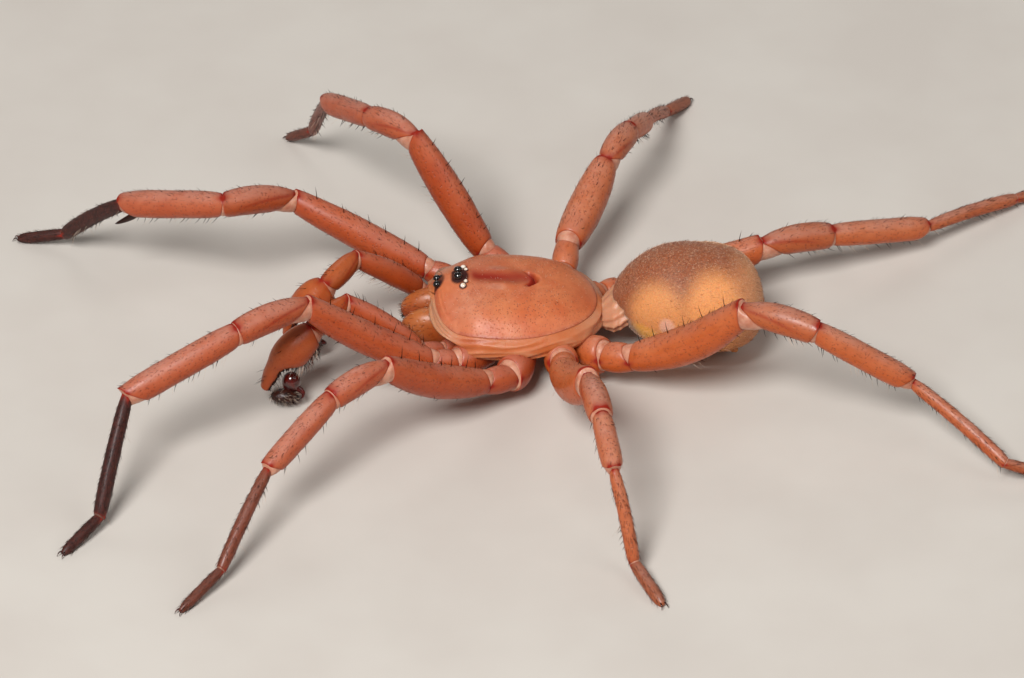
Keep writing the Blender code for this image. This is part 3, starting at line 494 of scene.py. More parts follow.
def add_piece(name, tubes, finishes, zones=None, replaces=()):
    """Smooth mesh piece from closed tubes and balls, each a list of equal rings in millimetres.

    Zones are one colour for each point.
    """
    points, faces = [], []
    for rings in tubes:
        offset = len(points)
        points += [to_world(point) for ring in rings for point in ring]
        faces += [tuple(v + offset for v in face) for face in ring_faces(rings)]
    mesh = bpy.data.meshes.new(name)
    mesh.from_pydata(points, [], faces)
    mesh.shade_smooth()
    if zones is not None:
        paint = mesh.color_attributes.new("zones", "FLOAT_COLOR", "POINT")
        paint.data.foreach_set("color", np.array(zones, dtype=np.float32).ravel())
    for finish in finishes:
        mesh.materials.append(FINISHES[finish])
    piece = linked(name, mesh)
    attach(piece, "root")
    if replaces:
        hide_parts(*replaces)
    return piece


def ring_faces(rings):
    """Faces between equal rings laid one after another, with a lid on each end."""
    count = len(rings[0])
    last = (len(rings) - 1) * count
    faces = [(start + j, start + (j + 1) % count, start + count + (j + 1) % count, start + count + j)
             for start in range(0, last, count) for j in range(count)]
    return faces + [tuple(reversed(range(count))), tuple(range(last, last + count))]


# Limbs

RING_STEP = 0.2            # length of skin between two rings of points
RING_POINTS = 56
EDGE_STEPS = (0.0, 0.025, 0.055, 0.09, 0.14)
JOINT_GAP = 0.035          # kept between two hard edges where they come closest
SKIN_UNEVENNESS = 0.012
EDGE_LIP = (0.92, 0.008)   # how narrow the skin is just past a hard edge, and how far past it
JOINT_SINK = (0.88, 0.02)  # the same for where the soft skin starts, inside the edge
JOINT_STEPS = 8
TIP_CAP = ((0.9, 0.05), (0.66, 0.09), (0.3, 0.11))


class Segment:
    """One hard stretch of a limb; its edges open away from the hinge of each joint."""

    def __init__(self, start, end, planes, edges, thickness, form, bow=0.0, scoop=None):
        self.direction = (end - start).normalized()
        self.side = self.direction.cross(UP).normalized()
        self.upward = self.side.cross(self.direction).normalized()
        self.start, self.end = start, end
        self.length = (end - start).length
        self.planes, self.edges = planes, edges
        self.thickness, self.form = thickness, form
        self.bow, self.scoop = bow, scoop
        self.edge_places = {}

    def across(self, share, turn, swell=1.0):
        """From the axis to the skin at a share of the whole length."""
        half = 0.5 * self.thickness * smooth_at(self.form, share)
        left = 1 - self.scoop[2] * eased(share, self.scoop[0], self.scoop[1]) if self.scoop else 1.0
        wide = half * SIDE_SHARE * (0.35 + 0.65 * left) * swell
        high = half * (left * math.sin(turn) * swell + 1 - left)
        return self.side * (wide * math.cos(turn)) + self.upward * high

    def edge_place(self, which, turn):
        """How far along the axis the hard edge lies at this turn: start edge 0, end edge 1."""
        key = (which, round(turn, 4))
        if key not in self.edge_places:
            plane, edge = self.planes[which], self.edges[which]
            shift = -self.across(float(which), turn).dot(plane) / self.direction.dot(plane)
            if edge:
                hinge, above, below = edge
                high = math.sin(turn) - hinge
                radius = 0.5 * self.thickness * self.form[-which][1]
                retreat = JOINT_GAP / 2 + radius * (above * max(0.0, high) + below * max(0.0, -high))
                shift += retreat if which == 0 else -retreat
            self.edge_places[key] = shift + which * self.length
        return self.edge_places[key]

    def place(self, along, turn, swell=1.0, push=0.0):
        """Point on the skin, at a share of the way between the edges; turn 90 degrees is on top."""
        low, high = self.edge_place(0, turn), self.edge_place(1, turn)
        axial = low + (high - low) * along
        share = min(1.0, max(0.0, axial / self.length))
        across = self.across(share, turn, swell)
        centre = (self.start + self.direction * (axial + push)
                  + self.upward * (self.bow * math.sin(math.pi * share)))
        point = centre + across
        return point + across.normalized() * (noise.noise(point * 1.3) * SKIN_UNEVENNESS)

    def ring(self, along, swell=1.0, push=0.0):
        """Points all round the segment."""
        return [self.place(along, turn, swell, push) for turn in around(RING_POINTS)]

    def outward(self, along, turn):
        """Direction straight out of the skin."""
        step = 0.05
        round_it = self.place(along, turn + step) - self.place(along, turn - step)
        along_it = self.place(min(1.0, along + 0.02), turn) - self.place(max(0.0, along - 0.02), turn)
        return round_it.cross(along_it).normalized() * -1.0


def step_along(start, length, heading, pitch):
    """Far end of a segment with this heading and pitch in degrees."""
    turn, lift = math.radians(heading), math.radians(pitch)
    return start + Vector((math.cos(lift) * math.cos(turn), math.cos(lift) * math.sin(turn),
                           math.sin(lift))) * length


def limb_joints(limb, lengths, foot=True):
    """Coxa's inner end, the joints and the tip."""
    joints = [Vector(limb["coxa"]), Vector(limb["joint"]), Vector(limb["root"])]
    for length, heading, pitch in zip(lengths, limb["heading"], limb["pitch"]):
        joints.append(step_along(joints[-1], length, heading, pitch))
    if foot:
        drop = (joints[-1].z - TARSUS_TIP_HEIGHT) / lengths[-1]
        joints.append(step_along(joints[-1], lengths[-1], limb["heading"][-1],
                                 -math.degrees(math.asin(drop))))
    return joints


def limb_segments(joints, hinges, thicknesses, forms, bows, scoop=None):
    """Segments of a limb, with the two hard edges of each joint."""
    count = len(joints) - 1
    directions = [(joints[i + 1] - joints[i]).normalized() for i in range(count)]
    planes = [directions[0]]
    planes += [(directions[i] + directions[i + 1]).normalized() for i in range(count - 1)]
    planes.append(directions[-1])
    segments = []
    for i in range(count):
        start_edge = (hinges[i - 1][0], *hinges[i - 1][2]) if i else None
        end_edge = (hinges[i][0], *hinges[i][1]) if i < count - 1 else None
        segments.append(Segment(joints[i], joints[i + 1], (planes[i], planes[i + 1]),
                                (start_edge, end_edge), thicknesses[i], forms[i], bows[i],
                                scoop if i == count - 1 else None))
    return segments


def leg_parts(leg):
    """Segments of a leg from coxa to tarsus."""
    pair = leg["pair"]
    thicknesses = (COXA_THICKNESS[pair], TROCHANTER_THICKNESS[pair], *LEG_THICKNESS[pair])
    forms = (COXA_FORM, TROCHANTER_FORM, FEMUR_FORM, PATELLA_FORM, TIBIA_FORM, METATARSUS_FORM,
             TARSUS_FORM)
    bows = (0.0, 0.0, -leg["sag"], PATELLA_BOW, 0.0, FOOT_BOW, 0.0)
    return limb_segments(limb_joints(leg, LEG_LENGTH[pair]), LEG_JOINTS, thicknesses, forms, bows)


def palp_parts(palp):
    """Segments of a palp from coxa to its swollen tibia."""
    forms = (COXA_FORM, TROCHANTER_FORM, FEMUR_FORM, PATELLA_FORM, PALP_TIBIA_FORM)
    bows = (0.0, 0.0, PALP_FEMUR_BOW, 0.0, PALP_TIBIA_BOW)
    return limb_segments(limb_joints(palp, PALP_LENGTH, foot=False), PALP_JOINTS, PALP_THICKNESS,
                         forms, bows, PALP_SCOOP)


def lerp_ring(first, second, share, bulge):
    """Ring between two others, swollen outwards by a bulge for each point."""
    middle = sum(first, Vector()) / len(first)
    far_middle = sum(second, Vector()) / len(second)
    centre = middle.lerp(far_middle, share)
    ring = []
    for i, (a, b) in enumerate(zip(first, second)):
        point = a.lerp(b, share)
        ring.append(point + (point - centre).normalized() * bulge[i])
    return ring


UPPER_SEGMENTS = 3         # coxa, trochanter and femur share a finish


def limb_skin(name, segments, darkness, pitted, finishes, replaces):
    """One skin over a whole limb: hard segments with lipped edges and soft skin at the joints."""
    turns = around(RING_POINTS)
    rings, zones = [], []

    def lay(ring, soft, rim, dark, pits=0.0):
        rings.append(ring)
        for i in range(RING_POINTS):
            zones.append((soft, rim[i] if isinstance(rim, list) else rim, dark, pits))

    def edge_red(edge, near):
        """Dark red along a hard edge, strongest at the hinge."""
        return [math.exp(-near / 0.05) * (0.3 + 0.6 * bell(math.sin(turn), edge[0], 0.45))
                + 1.1 * bell(near, 0.02, 0.16) * bell(math.sin(turn), edge[0], 0.16) for turn in turns]

    for number, segment in enumerate(segments):
        dark = darkness[number]
        opened = segment.edges
        steps = [step / segment.length for step in EDGE_STEPS]
        count = max(5, round(segment.length / RING_STEP))
        between = [steps[-1] + (1 - 2 * steps[-1]) * i / count for i in range(1, count)]
        for along in steps + between + [1 - step for step in reversed(steps)]:
            which = 0 if along < 0.5 else 1
            near = min(along, 1 - along) * segment.length
            rim = edge_red(opened[which], near) if opened[which] else 0.0
            if number == UPPER_SEGMENTS:  # a dark red line along the patella
                line = 0.6 * eased(along, 0.02, 0.1) * (1 - eased(along, 0.45, 0.95))
                rim = [red + line * bell(math.sin(turn), 0.72 - 0.9 * along, 0.13)
                       for red, turn in zip(rim, turns)]
            shoulder = 1 - 0.05 * math.exp(-near / 0.05) if opened[which] else 1.0
            lay(segment.ring(along, shoulder), 0.0, rim, dark, pitted * eased(near, 0.1, 0.4))
        if number == len(segments) - 1:
            break
        if number == UPPER_SEGMENTS - 1:
            upper_rings = len(rings) + 1 + JOINT_STEPS // 2  # the finish changes in the joint's skin
        after, after_dark = segments[number + 1], darkness[number + 1]
        (lip, lip_push), (sunk, sunk_push) = EDGE_LIP, JOINT_SINK
        lay(segment.ring(1.0, lip, lip_push), 0.35, edge_red(opened[1], 0.0), dark)
        inner, outer = segment.ring(1.0, sunk, -sunk_push), after.ring(0.0, sunk, sunk_push)
        joint_dark = 0.85 * min(dark, after_dark)
        lay(inner, 0.8, 0.15, max(dark * 0.3, joint_dark))
        widths = [(b - a).length for a, b in zip(inner, outer)]
        for k in range(1, JOINT_STEPS):
            share = k / JOINT_STEPS
            arch = math.sin(math.pi * share)
            fold = 0.006 * math.sin(share * math.pi * 9)
            bulge = [arch * min(0.035, 0.14 * width) + fold * min(1.0, width * 3) for width in widths]
            lay(lerp_ring(inner, outer, share, bulge), 1.0, 0.0, joint_dark)
        lay(outer, 0.8, 0.15, max(after_dark * 0.3, joint_dark))
        lay(after.ring(0.0, lip, -lip_push), 0.35, edge_red(after.edges[0], 0.0), after_dark)
    for swell, push in TIP_CAP:
        lay(segments[-1].ring(1.0, swell, push), 0.0, 0.0, darkness[-1])
    rings = [[Vector((p.x, p.y, max(p.z, 0.0))) for p in ring] for ring in rings]
    piece = add_piece(name, [rings], finishes, zones, replaces)
    lower_faces = [RING_POINTS * upper_rings <= polygon.index < len(piece.data.polygons) - 2
                   or polygon.index == len(piece.data.polygons) - 1 for polygon in piece.data.polygons]
    piece.data.polygons.foreach_set("material_index", np.array(lower_faces, dtype=np.int32))


# Hair

FINISH_ORDER = ("black", "brown", "pale")
HAIR_SIDES = 3
HAIR_RINGS = 3
HAIR_PATCH = 0.003         # size of one hair's patch on the coat's map
ABOVE, BELOW = math.pi / 2, -math.pi / 2


def hair_piece(name, hairs, finishes=FINISH_ORDER):
    """One mesh of tapered, curved hairs, each with a patch of its own on the coat's map.

    A hair is its root, its aim, the way it curls, its length, its thickness, its root's
    place on the map and the number of its finish.
    """
    roots, aims, curls, lengths, radii, maps, chosen = zip(*hairs)
    roots = np.array([tuple(to_world(root)) for root in roots])
    aims, curls, maps = (np.array([tuple(value) for value in values]) for values in (aims, curls, maps))
    lengths, radii = np.array(lengths) * MM, np.array(radii) * MM / 2
    across = np.cross(aims, np.where(np.abs(aims[:, 2:3]) > 0.9, [[1.0, 0.0, 0.0]], [[0.0, 0.0, 1.0]]))
    across /= np.linalg.norm(across, axis=1, keepdims=True)
    upright = np.cross(across, aims)
    points, patches = [], []
    for k in range(HAIR_RINGS):
        share = k / HAIR_RINGS
        centre = roots + aims * (lengths * share)[:, None] + curls * (lengths * share ** 2)[:, None]
        radius = radii * (1 - share) ** 0.6
        for s, turn in enumerate(around(HAIR_SIDES)):
            points.append(centre + (across * math.cos(turn) + upright * math.sin(turn)) * radius[:, None])
            patches.append(maps + [HAIR_PATCH * s / HAIR_SIDES, HAIR_PATCH * share])
    points.append(roots + aims * lengths[:, None] + curls * lengths[:, None])
    patches.append(maps + [HAIR_PATCH / 2, HAIR_PATCH])
    stride = HAIR_RINGS * HAIR_SIDES + 1
    points = np.stack(points, axis=1).reshape(-1, 3)
    patches = np.stack(patches, axis=1).reshape(-1, 2)
    pattern = []
    for start in range(0, stride - 1, HAIR_SIDES):
        for s in range(HAIR_SIDES):
            a, b = start + s, start + (s + 1) % HAIR_SIDES
            pattern.append((a, b, b + HAIR_SIDES, a + HAIR_SIDES) if start + HAIR_SIDES < stride - 1
                           else (a, b, stride - 1))
    pattern.append(tuple(reversed(range(HAIR_SIDES))))
    faces = [tuple(i * stride + v for v in face) for i in range(len(hairs)) for face in pattern]
    mesh = bpy.data.meshes.new(name)
    mesh.from_pydata(points.tolist(), [], faces)
    mesh.shade_smooth()
    for finish in finishes:
        mesh.materials.append(FINISHES[finish])
    mesh.polygons.foreach_set("material_index", np.repeat(chosen, len(pattern)).astype(np.int32))
    layer = mesh.uv_layers.new(name="OFBake")
    corners = np.empty(len(mesh.loops), dtype=np.int32)
    mesh.loops.foreach_get("vertex_index", corners)
    layer.data.foreach_set("uv", np.clip(patches[corners], 0.0, 1.0).astype(np.float32).ravel())
    piece = linked(name, mesh)
    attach(piece, "root")


class Coat:
    """Hairs of one limb; each segment has its own span along the coat's map."""

    def __init__(self, seed, segments, bounds):
        self.rng, self.hairs = random.Random(seed), []
        self.segments, self.bounds = segments, bounds

    def count(self, number, density):
        """How many hairs cover a segment at this density for each square millimetre."""
        segment = self.segments[number]
        return round(math.pi * segment.thickness * 0.85 * segment.length * density)

    def grow(self, number, along, turn, length, thickness, lift, finish, droop=0.15):
        """One hair on a segment, lifted from the skin by degrees and leaning to the tip."""
        segment = self.segments[number]
        root = segment.place(along, turn)
        outward = segment.outward(along, turn)
        lean = math.radians(lift)
        sway = outward.cross(segment.direction) * self.rng.uniform(-0.15, 0.15)
        aim = (outward * math.sin(lean) + segment.direction * math.cos(lean) + sway).normalized()
        curl = (segment.direction * droop - outward * droop * 0.6) * self.rng.uniform(0.5, 1.2)
        root = root - outward * (thickness * 0.6)
        if (root + (aim + curl) * length).z < 0.01:
            if root.z < 0.05:
                return
            aim = Vector((aim.x, aim.y, max(aim.z, (0.02 - root.z) / length))).normalized()
            curl = Vector((curl.x, curl.y, max(curl.z, 0.0)))
            if (root + (aim + curl) * length).z < 0.0:
                return
        start, end = self.bounds[number], self.bounds[number + 1]
        place = ((start + (end - start) * along) * 0.99, (turn / (2 * math.pi)) % 1.0 * 0.99)
        self.hairs.append((root, aim, curl, length, thickness, place, FINISH_ORDER.index(finish)))

    def brush(self, number, count, along, turn, length, thickness, lift, *finishes, droop=0.15):
        """Hairs at random between low and high values; turn has its middle before these."""
        middle, *turn = turn
        for _ in range(count):
            self.grow(number, self.rng.uniform(*along), middle + self.rng.uniform(*turn),
                      self.rng.uniform(*length), thickness, self.rng.uniform(*lift),
                      self.rng.choice(finishes) if len(finishes) > 1 else finishes[0], droop)


def leg_coat(label, leg, segments):
    """Bristles, short lying hair and the dense brushes of the feet of one leg."""
    bounds = np.cumsum([0.0] + [segment.length for segment in segments])
    coat = Coat(label, segments, bounds / bounds[-1])
    rng = coat.rng
    coxa, trochanter, femur, patella, tibia, metatarsus, tarsus = range(7)

    # Short hair lying along the skin: number for each square millimetre, length, share of black
    heavy = 1.35 if leg["pair"] == 4 else 1.0
    blackness = 1.0 if leg["pair"] < 3 else 0.7
    for number, density, length, dark_share in (
            (coxa, 9, 0.12, 0.3), (trochanter, 14, 0.13, 0.4), (femur, 19 * heavy, 0.17, 0.5),
            (patella, 18, 0.16, 0.5), (tibia, 20, 0.18, 0.5), (metatarsus, 60, 0.2, 0.75),
            (tarsus, 85, 0.2, 0.85)):
        thickness, lift = (0.013, (14, 34)) if number >= metatarsus else (0.008, (10, 26))
        for _ in range(coat.count(number, density)):
            finish = "black" if rng.random() < dark_share * blackness else "brown"
            coat.grow(number, rng.uniform(0.03, 0.98), rng.uniform(0, 2 * math.pi),
                      length * rng.uniform(0.6, 1.2), thickness, rng.uniform(*lift), finish)
    # Upright black bristles in a row along the top of the femur, then smaller ones
    for along in () if leg["pair"] == 3 else (0.08, 0.2, 0.33, 0.47, 0.66, 0.86):
        coat.grow(femur, along + rng.uniform(-0.02, 0.02), ABOVE + rng.uniform(-0.12, 0.12),
                  rng.uniform(0.46, 0.62), 0.042, rng.uniform(62, 80), "black", 0.1)
    for number, count, low, high in ((femur, 16, 0.05, 0.95), (patella, 12, 0.1, 0.95),
                                     (tibia, 16, 0.05, 0.97), (metatarsus, 12, 0.05, 0.95)):
        coat.brush(number, count, (low, high), (ABOVE, -0.9, 0.9), (0.14, 0.26), 0.022, (35, 60), "black")
    # Fringe of short slanting hair along the back of the limb
    for number, count in ((femur, 24), (patella, 18), (tibia, 26)):
        coat.brush(number, count, (0.04, 0.98), (ABOVE, -0.5, 0.9), (0.14, 0.24), 0.011, (25, 45), "black")
    # Spines under the limb, and a few long pale hairs among them
    for number, count, length in ((femur, 8, 0.22), (patella, 12, 0.3), (tibia, 20, 0.36),
                                  (metatarsus, 16, 0.3)):
        for i in range(count):
            coat.grow(number, (i + rng.uniform(0.2, 0.8)) / count, BELOW + rng.uniform(-0.8, 0.8),
                      length * rng.uniform(0.7, 1.2), 0.034, rng.uniform(40, 65), "black")
            if rng.random() < 0.7:
                coat.grow(number, rng.random(), BELOW + rng.uniform(-1.0, 1.0), rng.uniform(0.35, 0.6),
                          0.012, rng.uniform(45, 70), "pale")
    hair_piece("leg_" + label + "_coat", coat.hairs)


def build_legs():
    """Skins and coats of the eight legs, with their claws and the first pair's spurs."""
    for label, leg in LEGS.items():
        segments = leg_parts(leg)
        foot_dark = FOOT_DARKNESS[leg["pair"]]
        darkness = (0.0, 0.0, 0.0, PATELLA_DARKNESS[leg["pair"]], 0.0, *foot_dark)
        prefix = "leg_" + label
        finishes = ["front_femur", "front_limb"] if leg["pair"] < 3 else ["rear_femur", "rear_limb"]
        limb_skin(prefix + "_skin", segments, darkness, 0.8, finishes,
                  [prefix + part for part in ("_coxa", "_femur", "_patella", "_tibia", "_metatarsus")])
        leg_coat(label, leg, segments)
        leg_claws(label, segments[-1])
        if leg["pair"] == 1:
            tibial_spur(label, segments[SPUR_SEGMENT], 1 if label.startswith("left") else -1)


def tapered(points, radii, sides):
    """Rings along a curved, tapering rod through these points."""
    rings = []
    for i, (point, radius) in enumerate(zip(points, radii)):
        before, after = points[max(i - 1, 0)], points[min(i + 1, len(points) - 1)]
        direction = (after - before).normalized()
        across = direction.cross(UP if abs(direction.z) < 0.9 else Vector((1.0, 0.0, 0.0))).normalized()
        upright = across.cross(direction)
        rings.append([point + across * (radius * math.cos(turn)) + upright * (radius * math.sin(turn))
                      for turn in around(sides)])
    return rings


CLAW_STEPS = 6
CLAW_REACH, CLAW_SPREAD = 0.26, 0.07
CLAW_ARCH, CLAW_DROP = 0.09, 0.1
CLAW_RADIUS = 0.035


def leg_claws(label, tarsus):
    """Pair of hooked claws at the tip of a tarsus."""
    claws = []
    for side in (-1, 1):
        root = tarsus.place(1.0, ABOVE - side * 0.9, 0.6)
        spine, radii = [], []
        for i in range(CLAW_STEPS + 1):
            along = i / CLAW_STEPS
            hook = (tarsus.direction * (CLAW_REACH * math.sin(along * 1.5))
                    + tarsus.side * (CLAW_SPREAD * side * along))
            point = root + hook + UP * (CLAW_ARCH * math.sin(along * math.pi) - CLAW_DROP * along)
            spine.append(Vector((point.x, point.y, max(point.z, 0.03))))
            radii.append(CLAW_RADIUS * (1 - along) ** 0.7 + 0.004)
        claws.append(tapered(spine, radii, 8))
    add_piece("leg_" + label + "_claws", claws, ["fang"])


SPUR_SEGMENT = 4
SPUR_PLACE = 0.87          # share of the tibia's length
SPUR_DEPTH, SPUR_OFFSET = 0.34, 0.1
SPUR_BEND = 0.12
SPUR_STEPS = 8
SPUR_RODS = (((0.93, -0.42, 0.2), 1.2, 0.15), ((0.7, -0.66, -0.1), 0.5, 0.1))  # aim, length, radius


def tibial_spur(label, tibia, prolateral):
    """Stout black mating spur under the end of the first tibia, with its peg."""
    side = tibia.side * prolateral
    root = tibia.start.lerp(tibia.end, SPUR_PLACE) - tibia.upward * SPUR_DEPTH + side * SPUR_OFFSET
    spurs = []
    for (forward, up, outward), length, radius in SPUR_RODS:
        aim = (tibia.direction * forward + tibia.upward * up + side * outward).normalized()
        shares = [i / SPUR_STEPS for i in range(SPUR_STEPS + 1)]
        points = [root + aim * (length * share) + tibia.upward * (SPUR_BEND * share ** 2)
                  for share in shares]
        radii = [radius * (1 - 0.75 * share ** 1.8) for share in shares[:-1]] + [0.02]
        spurs.append(tapered(points, radii, 12))
    add_piece("leg_" + label + "_spur", spurs, ["black"])


# Shield

def outline_share(x, y):
    """0 in the middle of the shield's plan and 1 on its outline."""
    front = x < CARAPACE_WIDEST
    squareness = FRONT_SQUARENESS if front else REAR_SQUARENESS
    reach = CARAPACE_WIDEST - CARAPACE_FRONT if front else CARAPACE_REAR - CARAPACE_WIDEST
    share = abs((x - CARAPACE_WIDEST) / reach) ** squareness + abs(y / CARAPACE_HALF_WIDTH) ** squareness
    return share ** (1 / squareness)


def outline_point(turn, share):
    """Plan place at a turn about the shield's middle and a share of its outline."""
    x, y = math.cos(turn), math.sin(turn)
    reach = outline_share(CARAPACE_WIDEST + x, y)
    return CARAPACE_WIDEST + x * share / reach, y * share / reach


EYES = (  # place along and off the midline, radius, rise, finish
    (-2.99, 0.2, 0.15, 0.05, "dark_lens"),
    (-2.18, 0.2, 0.17, 0.07, "dark_lens"),
    (-1.98, 0.6, 0.1, 0.0, "amber_lens_painted_glint"),
    (-1.88, 0.38, 0.07, 0.0, "amber_lens_painted_glint"),
)


def pit_line(y):
    """Where the shield's pit lies: across the midline, curved forward at both ends."""
    return FOVEA_X - FOVEA_CURVE * min(1.0, abs(y) / FOVEA_HALF_WIDTH) ** 2


def carapace_top(x, y):
    """Height of the shield's upper side with its groove, pit, brim and the mounds of its eyes."""
    rho = min(1.0, outline_share(x, y))
    rim = CARAPACE_RIM_HEIGHT + CLYPEUS_RISE * eased(-x, 2.2, 3.1) * math.exp(-(y / 1.6) ** 4)
    front = eased(-x, 1.2, 2.6)
    reach = CROWN_REACH[0] + (CROWN_REACH[1] - CROWN_REACH[0]) * front
    flatness = CROWN_FLATNESS[0] + (CROWN_FLATNESS[1] - CROWN_FLATNESS[0]) * front
    sharpness = RIM_SHARPNESS + BROW_SHARPNESS * front * bell(y, 0.0, BROW_HALF_WIDTH)
    crown = CARAPACE_RIM_HEIGHT + smooth_at(CREST, x) * (1 - abs(y / reach) ** flatness)
    height = crown + (rim - crown) * rho ** sharpness
    pit_x = pit_line(y)
    within = 1 - eased(abs(y), 0.3, 0.52)
    height -= FOVEA_DEPTH * bell(x, pit_x, FOVEA_WIDTH) * within
    height += 0.02 * bell(x, pit_x + 0.22, 0.16) * within
    # Groove from the eyes to the pit, two furrows to the front corners, and faint spokes
    height -= 0.06 * bell(y, 0.0, 0.3) * eased(x, -1.7, -1.2) * (1 - eased(x, 0.4, 0.7))
    height += 0.05 * bell(abs(y), 0.44, 0.2) * bell(x, -0.45, 0.45)
    furrow = abs(abs(y) - (0.35 + 0.62 * (0.5 - x)))
    height -= 0.009 * math.exp(-(furrow / 0.35) ** 2) * eased(0.4 - x, 0.0, 0.5) * (1 - eased(-x, 1.6, 2.4))
    for k in range(3):
        spoke = math.radians(52 + 40 * k)
        along = (x - FOVEA_X) * math.cos(spoke) + abs(y) * math.sin(spoke)
        off = (x - FOVEA_X) * math.sin(spoke) - abs(y) * math.cos(spoke)
        height -= 0.014 * bell(off, 0.0, 0.2) * eased(along, 0.3, 0.8) * (1 - eased(along, 1.5, 2.3))
    # Fine line just inside the edge
    height -= 0.012 * bell(rho, 0.93, 0.012)
    # Mounds under the eyes
    for eye_x, eye_y, radius, _, _ in EYES:
        away = math.hypot(x - eye_x, abs(y) - eye_y)
        height += 0.05 * math.exp(-(away / (radius * 1.5)) ** 2)
    height += 0.1 * bell(x, -2.12, 0.26) * bell(y, 0.0, 0.36)
    # Fine folds along the front corners, over the jaws
    corner = eased(-x, 2.3, 2.7) * eased(abs(y), 0.4, 0.8) * eased(rho, 0.82, 0.88)
    height += 0.024 * corner * math.sin((1 - rho) * 2 * math.pi / 0.045)
    return height


def shield_zones(x, y, rho):
    """Colours of the shield: soft, dark red, black and pitted shares, with a painted highlight and painted
    shade among them.
    """
    wander = 0.12 * noise.noise(Vector((x * 1.8, y * 1.2, 3.0)))
    # Dark red band along the midline groove: partly its own colour, partly painted shade, set off towards the
    # far side with more red beyond it
    red_band_and_painted_shade = (bell(y, 0.08 + wander, 0.42 + 0.05 * x) * eased(x, -1.9, -1.5) * (1 - eased(x, 0.6, 0.9))
            + 0.2 * bell(y, 0.3, 0.6) * bell(x, -1.1, 0.8))
    # Painted highlight: a pale oval on each upper flank, below the groove
    pale = 0.8 * math.exp(-((x + 0.7) / 0.34) ** 2 - ((abs(y) - 0.62) / 0.15) ** 2)
    pit = bell(x, pit_line(y) - 0.04, 0.12) * (1 - eased(abs(y), 0.32, 0.5))
    wavy = 0.935 + 0.012 * noise.noise(Vector((x, y, 5.0)) * 1.7)
    edge = bell(rho, wavy, 0.012) * (0.4 + 0.4 * noise.noise(Vector((x, y, 0)) * 2.5)
                                     + 0.5 * noise.noise(Vector((x, y, 2.0)) * 11))
    red = min(1.0, 0.85 * red_band_and_painted_shade + 0.95 * pit + edge)
    black = 0.0
    for eye_x, eye_y, radius, _, _ in EYES:  # pigment that ends a little outside each lens
        away = math.hypot(x - eye_x, abs(y) - eye_y) / radius
        black = max(black, 1 - eased(away, 1.275, 1.725))
    black = max(black, 1 - eased(math.hypot((x + 2.1) / 0.34, y / 0.46), 0.8, 1.2),
                0.8 * (1 - eased(math.hypot((x + 2.93) / 0.24, y / 0.4), 0.75, 1.2)))
    pinkish = 0.5 * math.exp(-((x + 1.8) / 0.9) ** 2 - ((abs(y) - 1.35) / 0.75) ** 2)
    # The soft share carries the painted highlight as well as pale skin
    soft = max(pale, pinkish, 0.3 * eased(rho, 0.9, 0.945))
    pits = bell(rho, 0.6, 0.34) * (1 - 0.7 * bell(y, 0.0, 0.6)) * (1 - eased(-x, 1.9, 2.6))
    return (soft, max(0.0, red), black, max(0.0, pits))


# Soft skin below the shield's edge: drop from the edge, then share of the outline
SHIELD_EDGE = 0.945
SOFT_SIDE_PROFILE = ((0.0, 0.945), (0.02, 0.962), (0.06, 0.98), (0.14, 0.998), (0.26, 1.012), (0.4, 1.022),
                     (0.55, 1.026), (0.7, 1.02), (0.85, 0.99), (1.0, 0.93), (1.15, 0.83), (1.25, 0.68))
SOFT_SIDE_RINGS = 36
SHIELD_COLUMNS = 240
SHIELD_ROWS = 90


def build_shield():
    """Domed shield with its pit and grooves, and the soft skin that hangs from its edge."""
    turns = around(SHIELD_COLUMNS)
    shares = [0.004] + [SHIELD_EDGE * i / SHIELD_ROWS for i in range(1, SHIELD_ROWS - 2)]
    shares += [SHIELD_EDGE - 0.009, SHIELD_EDGE]
    rings, zones = [], []
    for share in shares:
        ring = []
        for turn in turns:
            x, y = outline_point(turn, share)
            ring.append(Vector((x, y, carapace_top(x, y))))
            zones.append(shield_zones(x, y, share))
        rings.append(ring)
    edge = rings[-1]
    for k in range(1, SOFT_SIDE_RINGS + 1):
        drop = SOFT_SIDE_PROFILE[-1][0] * (k / SOFT_SIDE_RINGS) ** 1.3
        share = smooth_at(SOFT_SIDE_PROFILE, drop)
        ring = []
        for turn, top in zip(turns, edge):
            x, y = outline_point(turn, share)
            corner = eased(-x, 2.4, 2.8) * eased(abs(y), 0.35, 0.8) * (drop < 0.5)
            fold = 0.017 * corner * math.sin(2 * math.pi * k / 4)
            crumple = noise.noise(Vector((turn * 1.5 + drop, drop * 2.8 + turn * 0.8, 1.0)))
            sag = 0.045 * (1 - 2 * abs(crumple)) * eased(drop, 0.04, 0.22) - 0.025
            inward = 1 - 0.2 * eased(drop, 0.25, 0.9) * eased(-x, 1.9, 2.7) + fold + sag
            ring.append(Vector((x * inward, y * inward, top.z - drop * (1 - 0.35 * eased(-x, 2.0, 2.9)))))
            # Painted shade darkens the sunken creases; the whitish share is pale skin at the front and rear,
            # and a painted highlight along the raised folds
            painted_crease_shade = 0.5 * eased(abs(crumple), 0.2, 0.6) * eased(drop, 0.03, 0.1)
            whitish_and_ridge_highlight = 0.6 * max(eased(-x, 1.9, 2.5), eased(x, 2.0, 3.0)) * eased(abs(y), 0.3, 0.8)
            whitish_and_ridge_highlight = max(whitish_and_ridge_highlight, 0.35 * (1 - eased(abs(crumple), 0.0, 0.12)))
            zones.append((0.0, painted_crease_shade, whitish_and_ridge_highlight, 0.0))
        rings.append(ring)
    piece = add_piece("carapace_shield", [rings], ["shield", "soft"], zones, ["carapace", "sternum"])
    hard, lids = (len(shares) - 1) * len(turns), len(piece.data.polygons) - 2
    for index, polygon in enumerate(piece.data.polygons):
        polygon.material_index = int(hard <= index < lids)
    shield_coat()


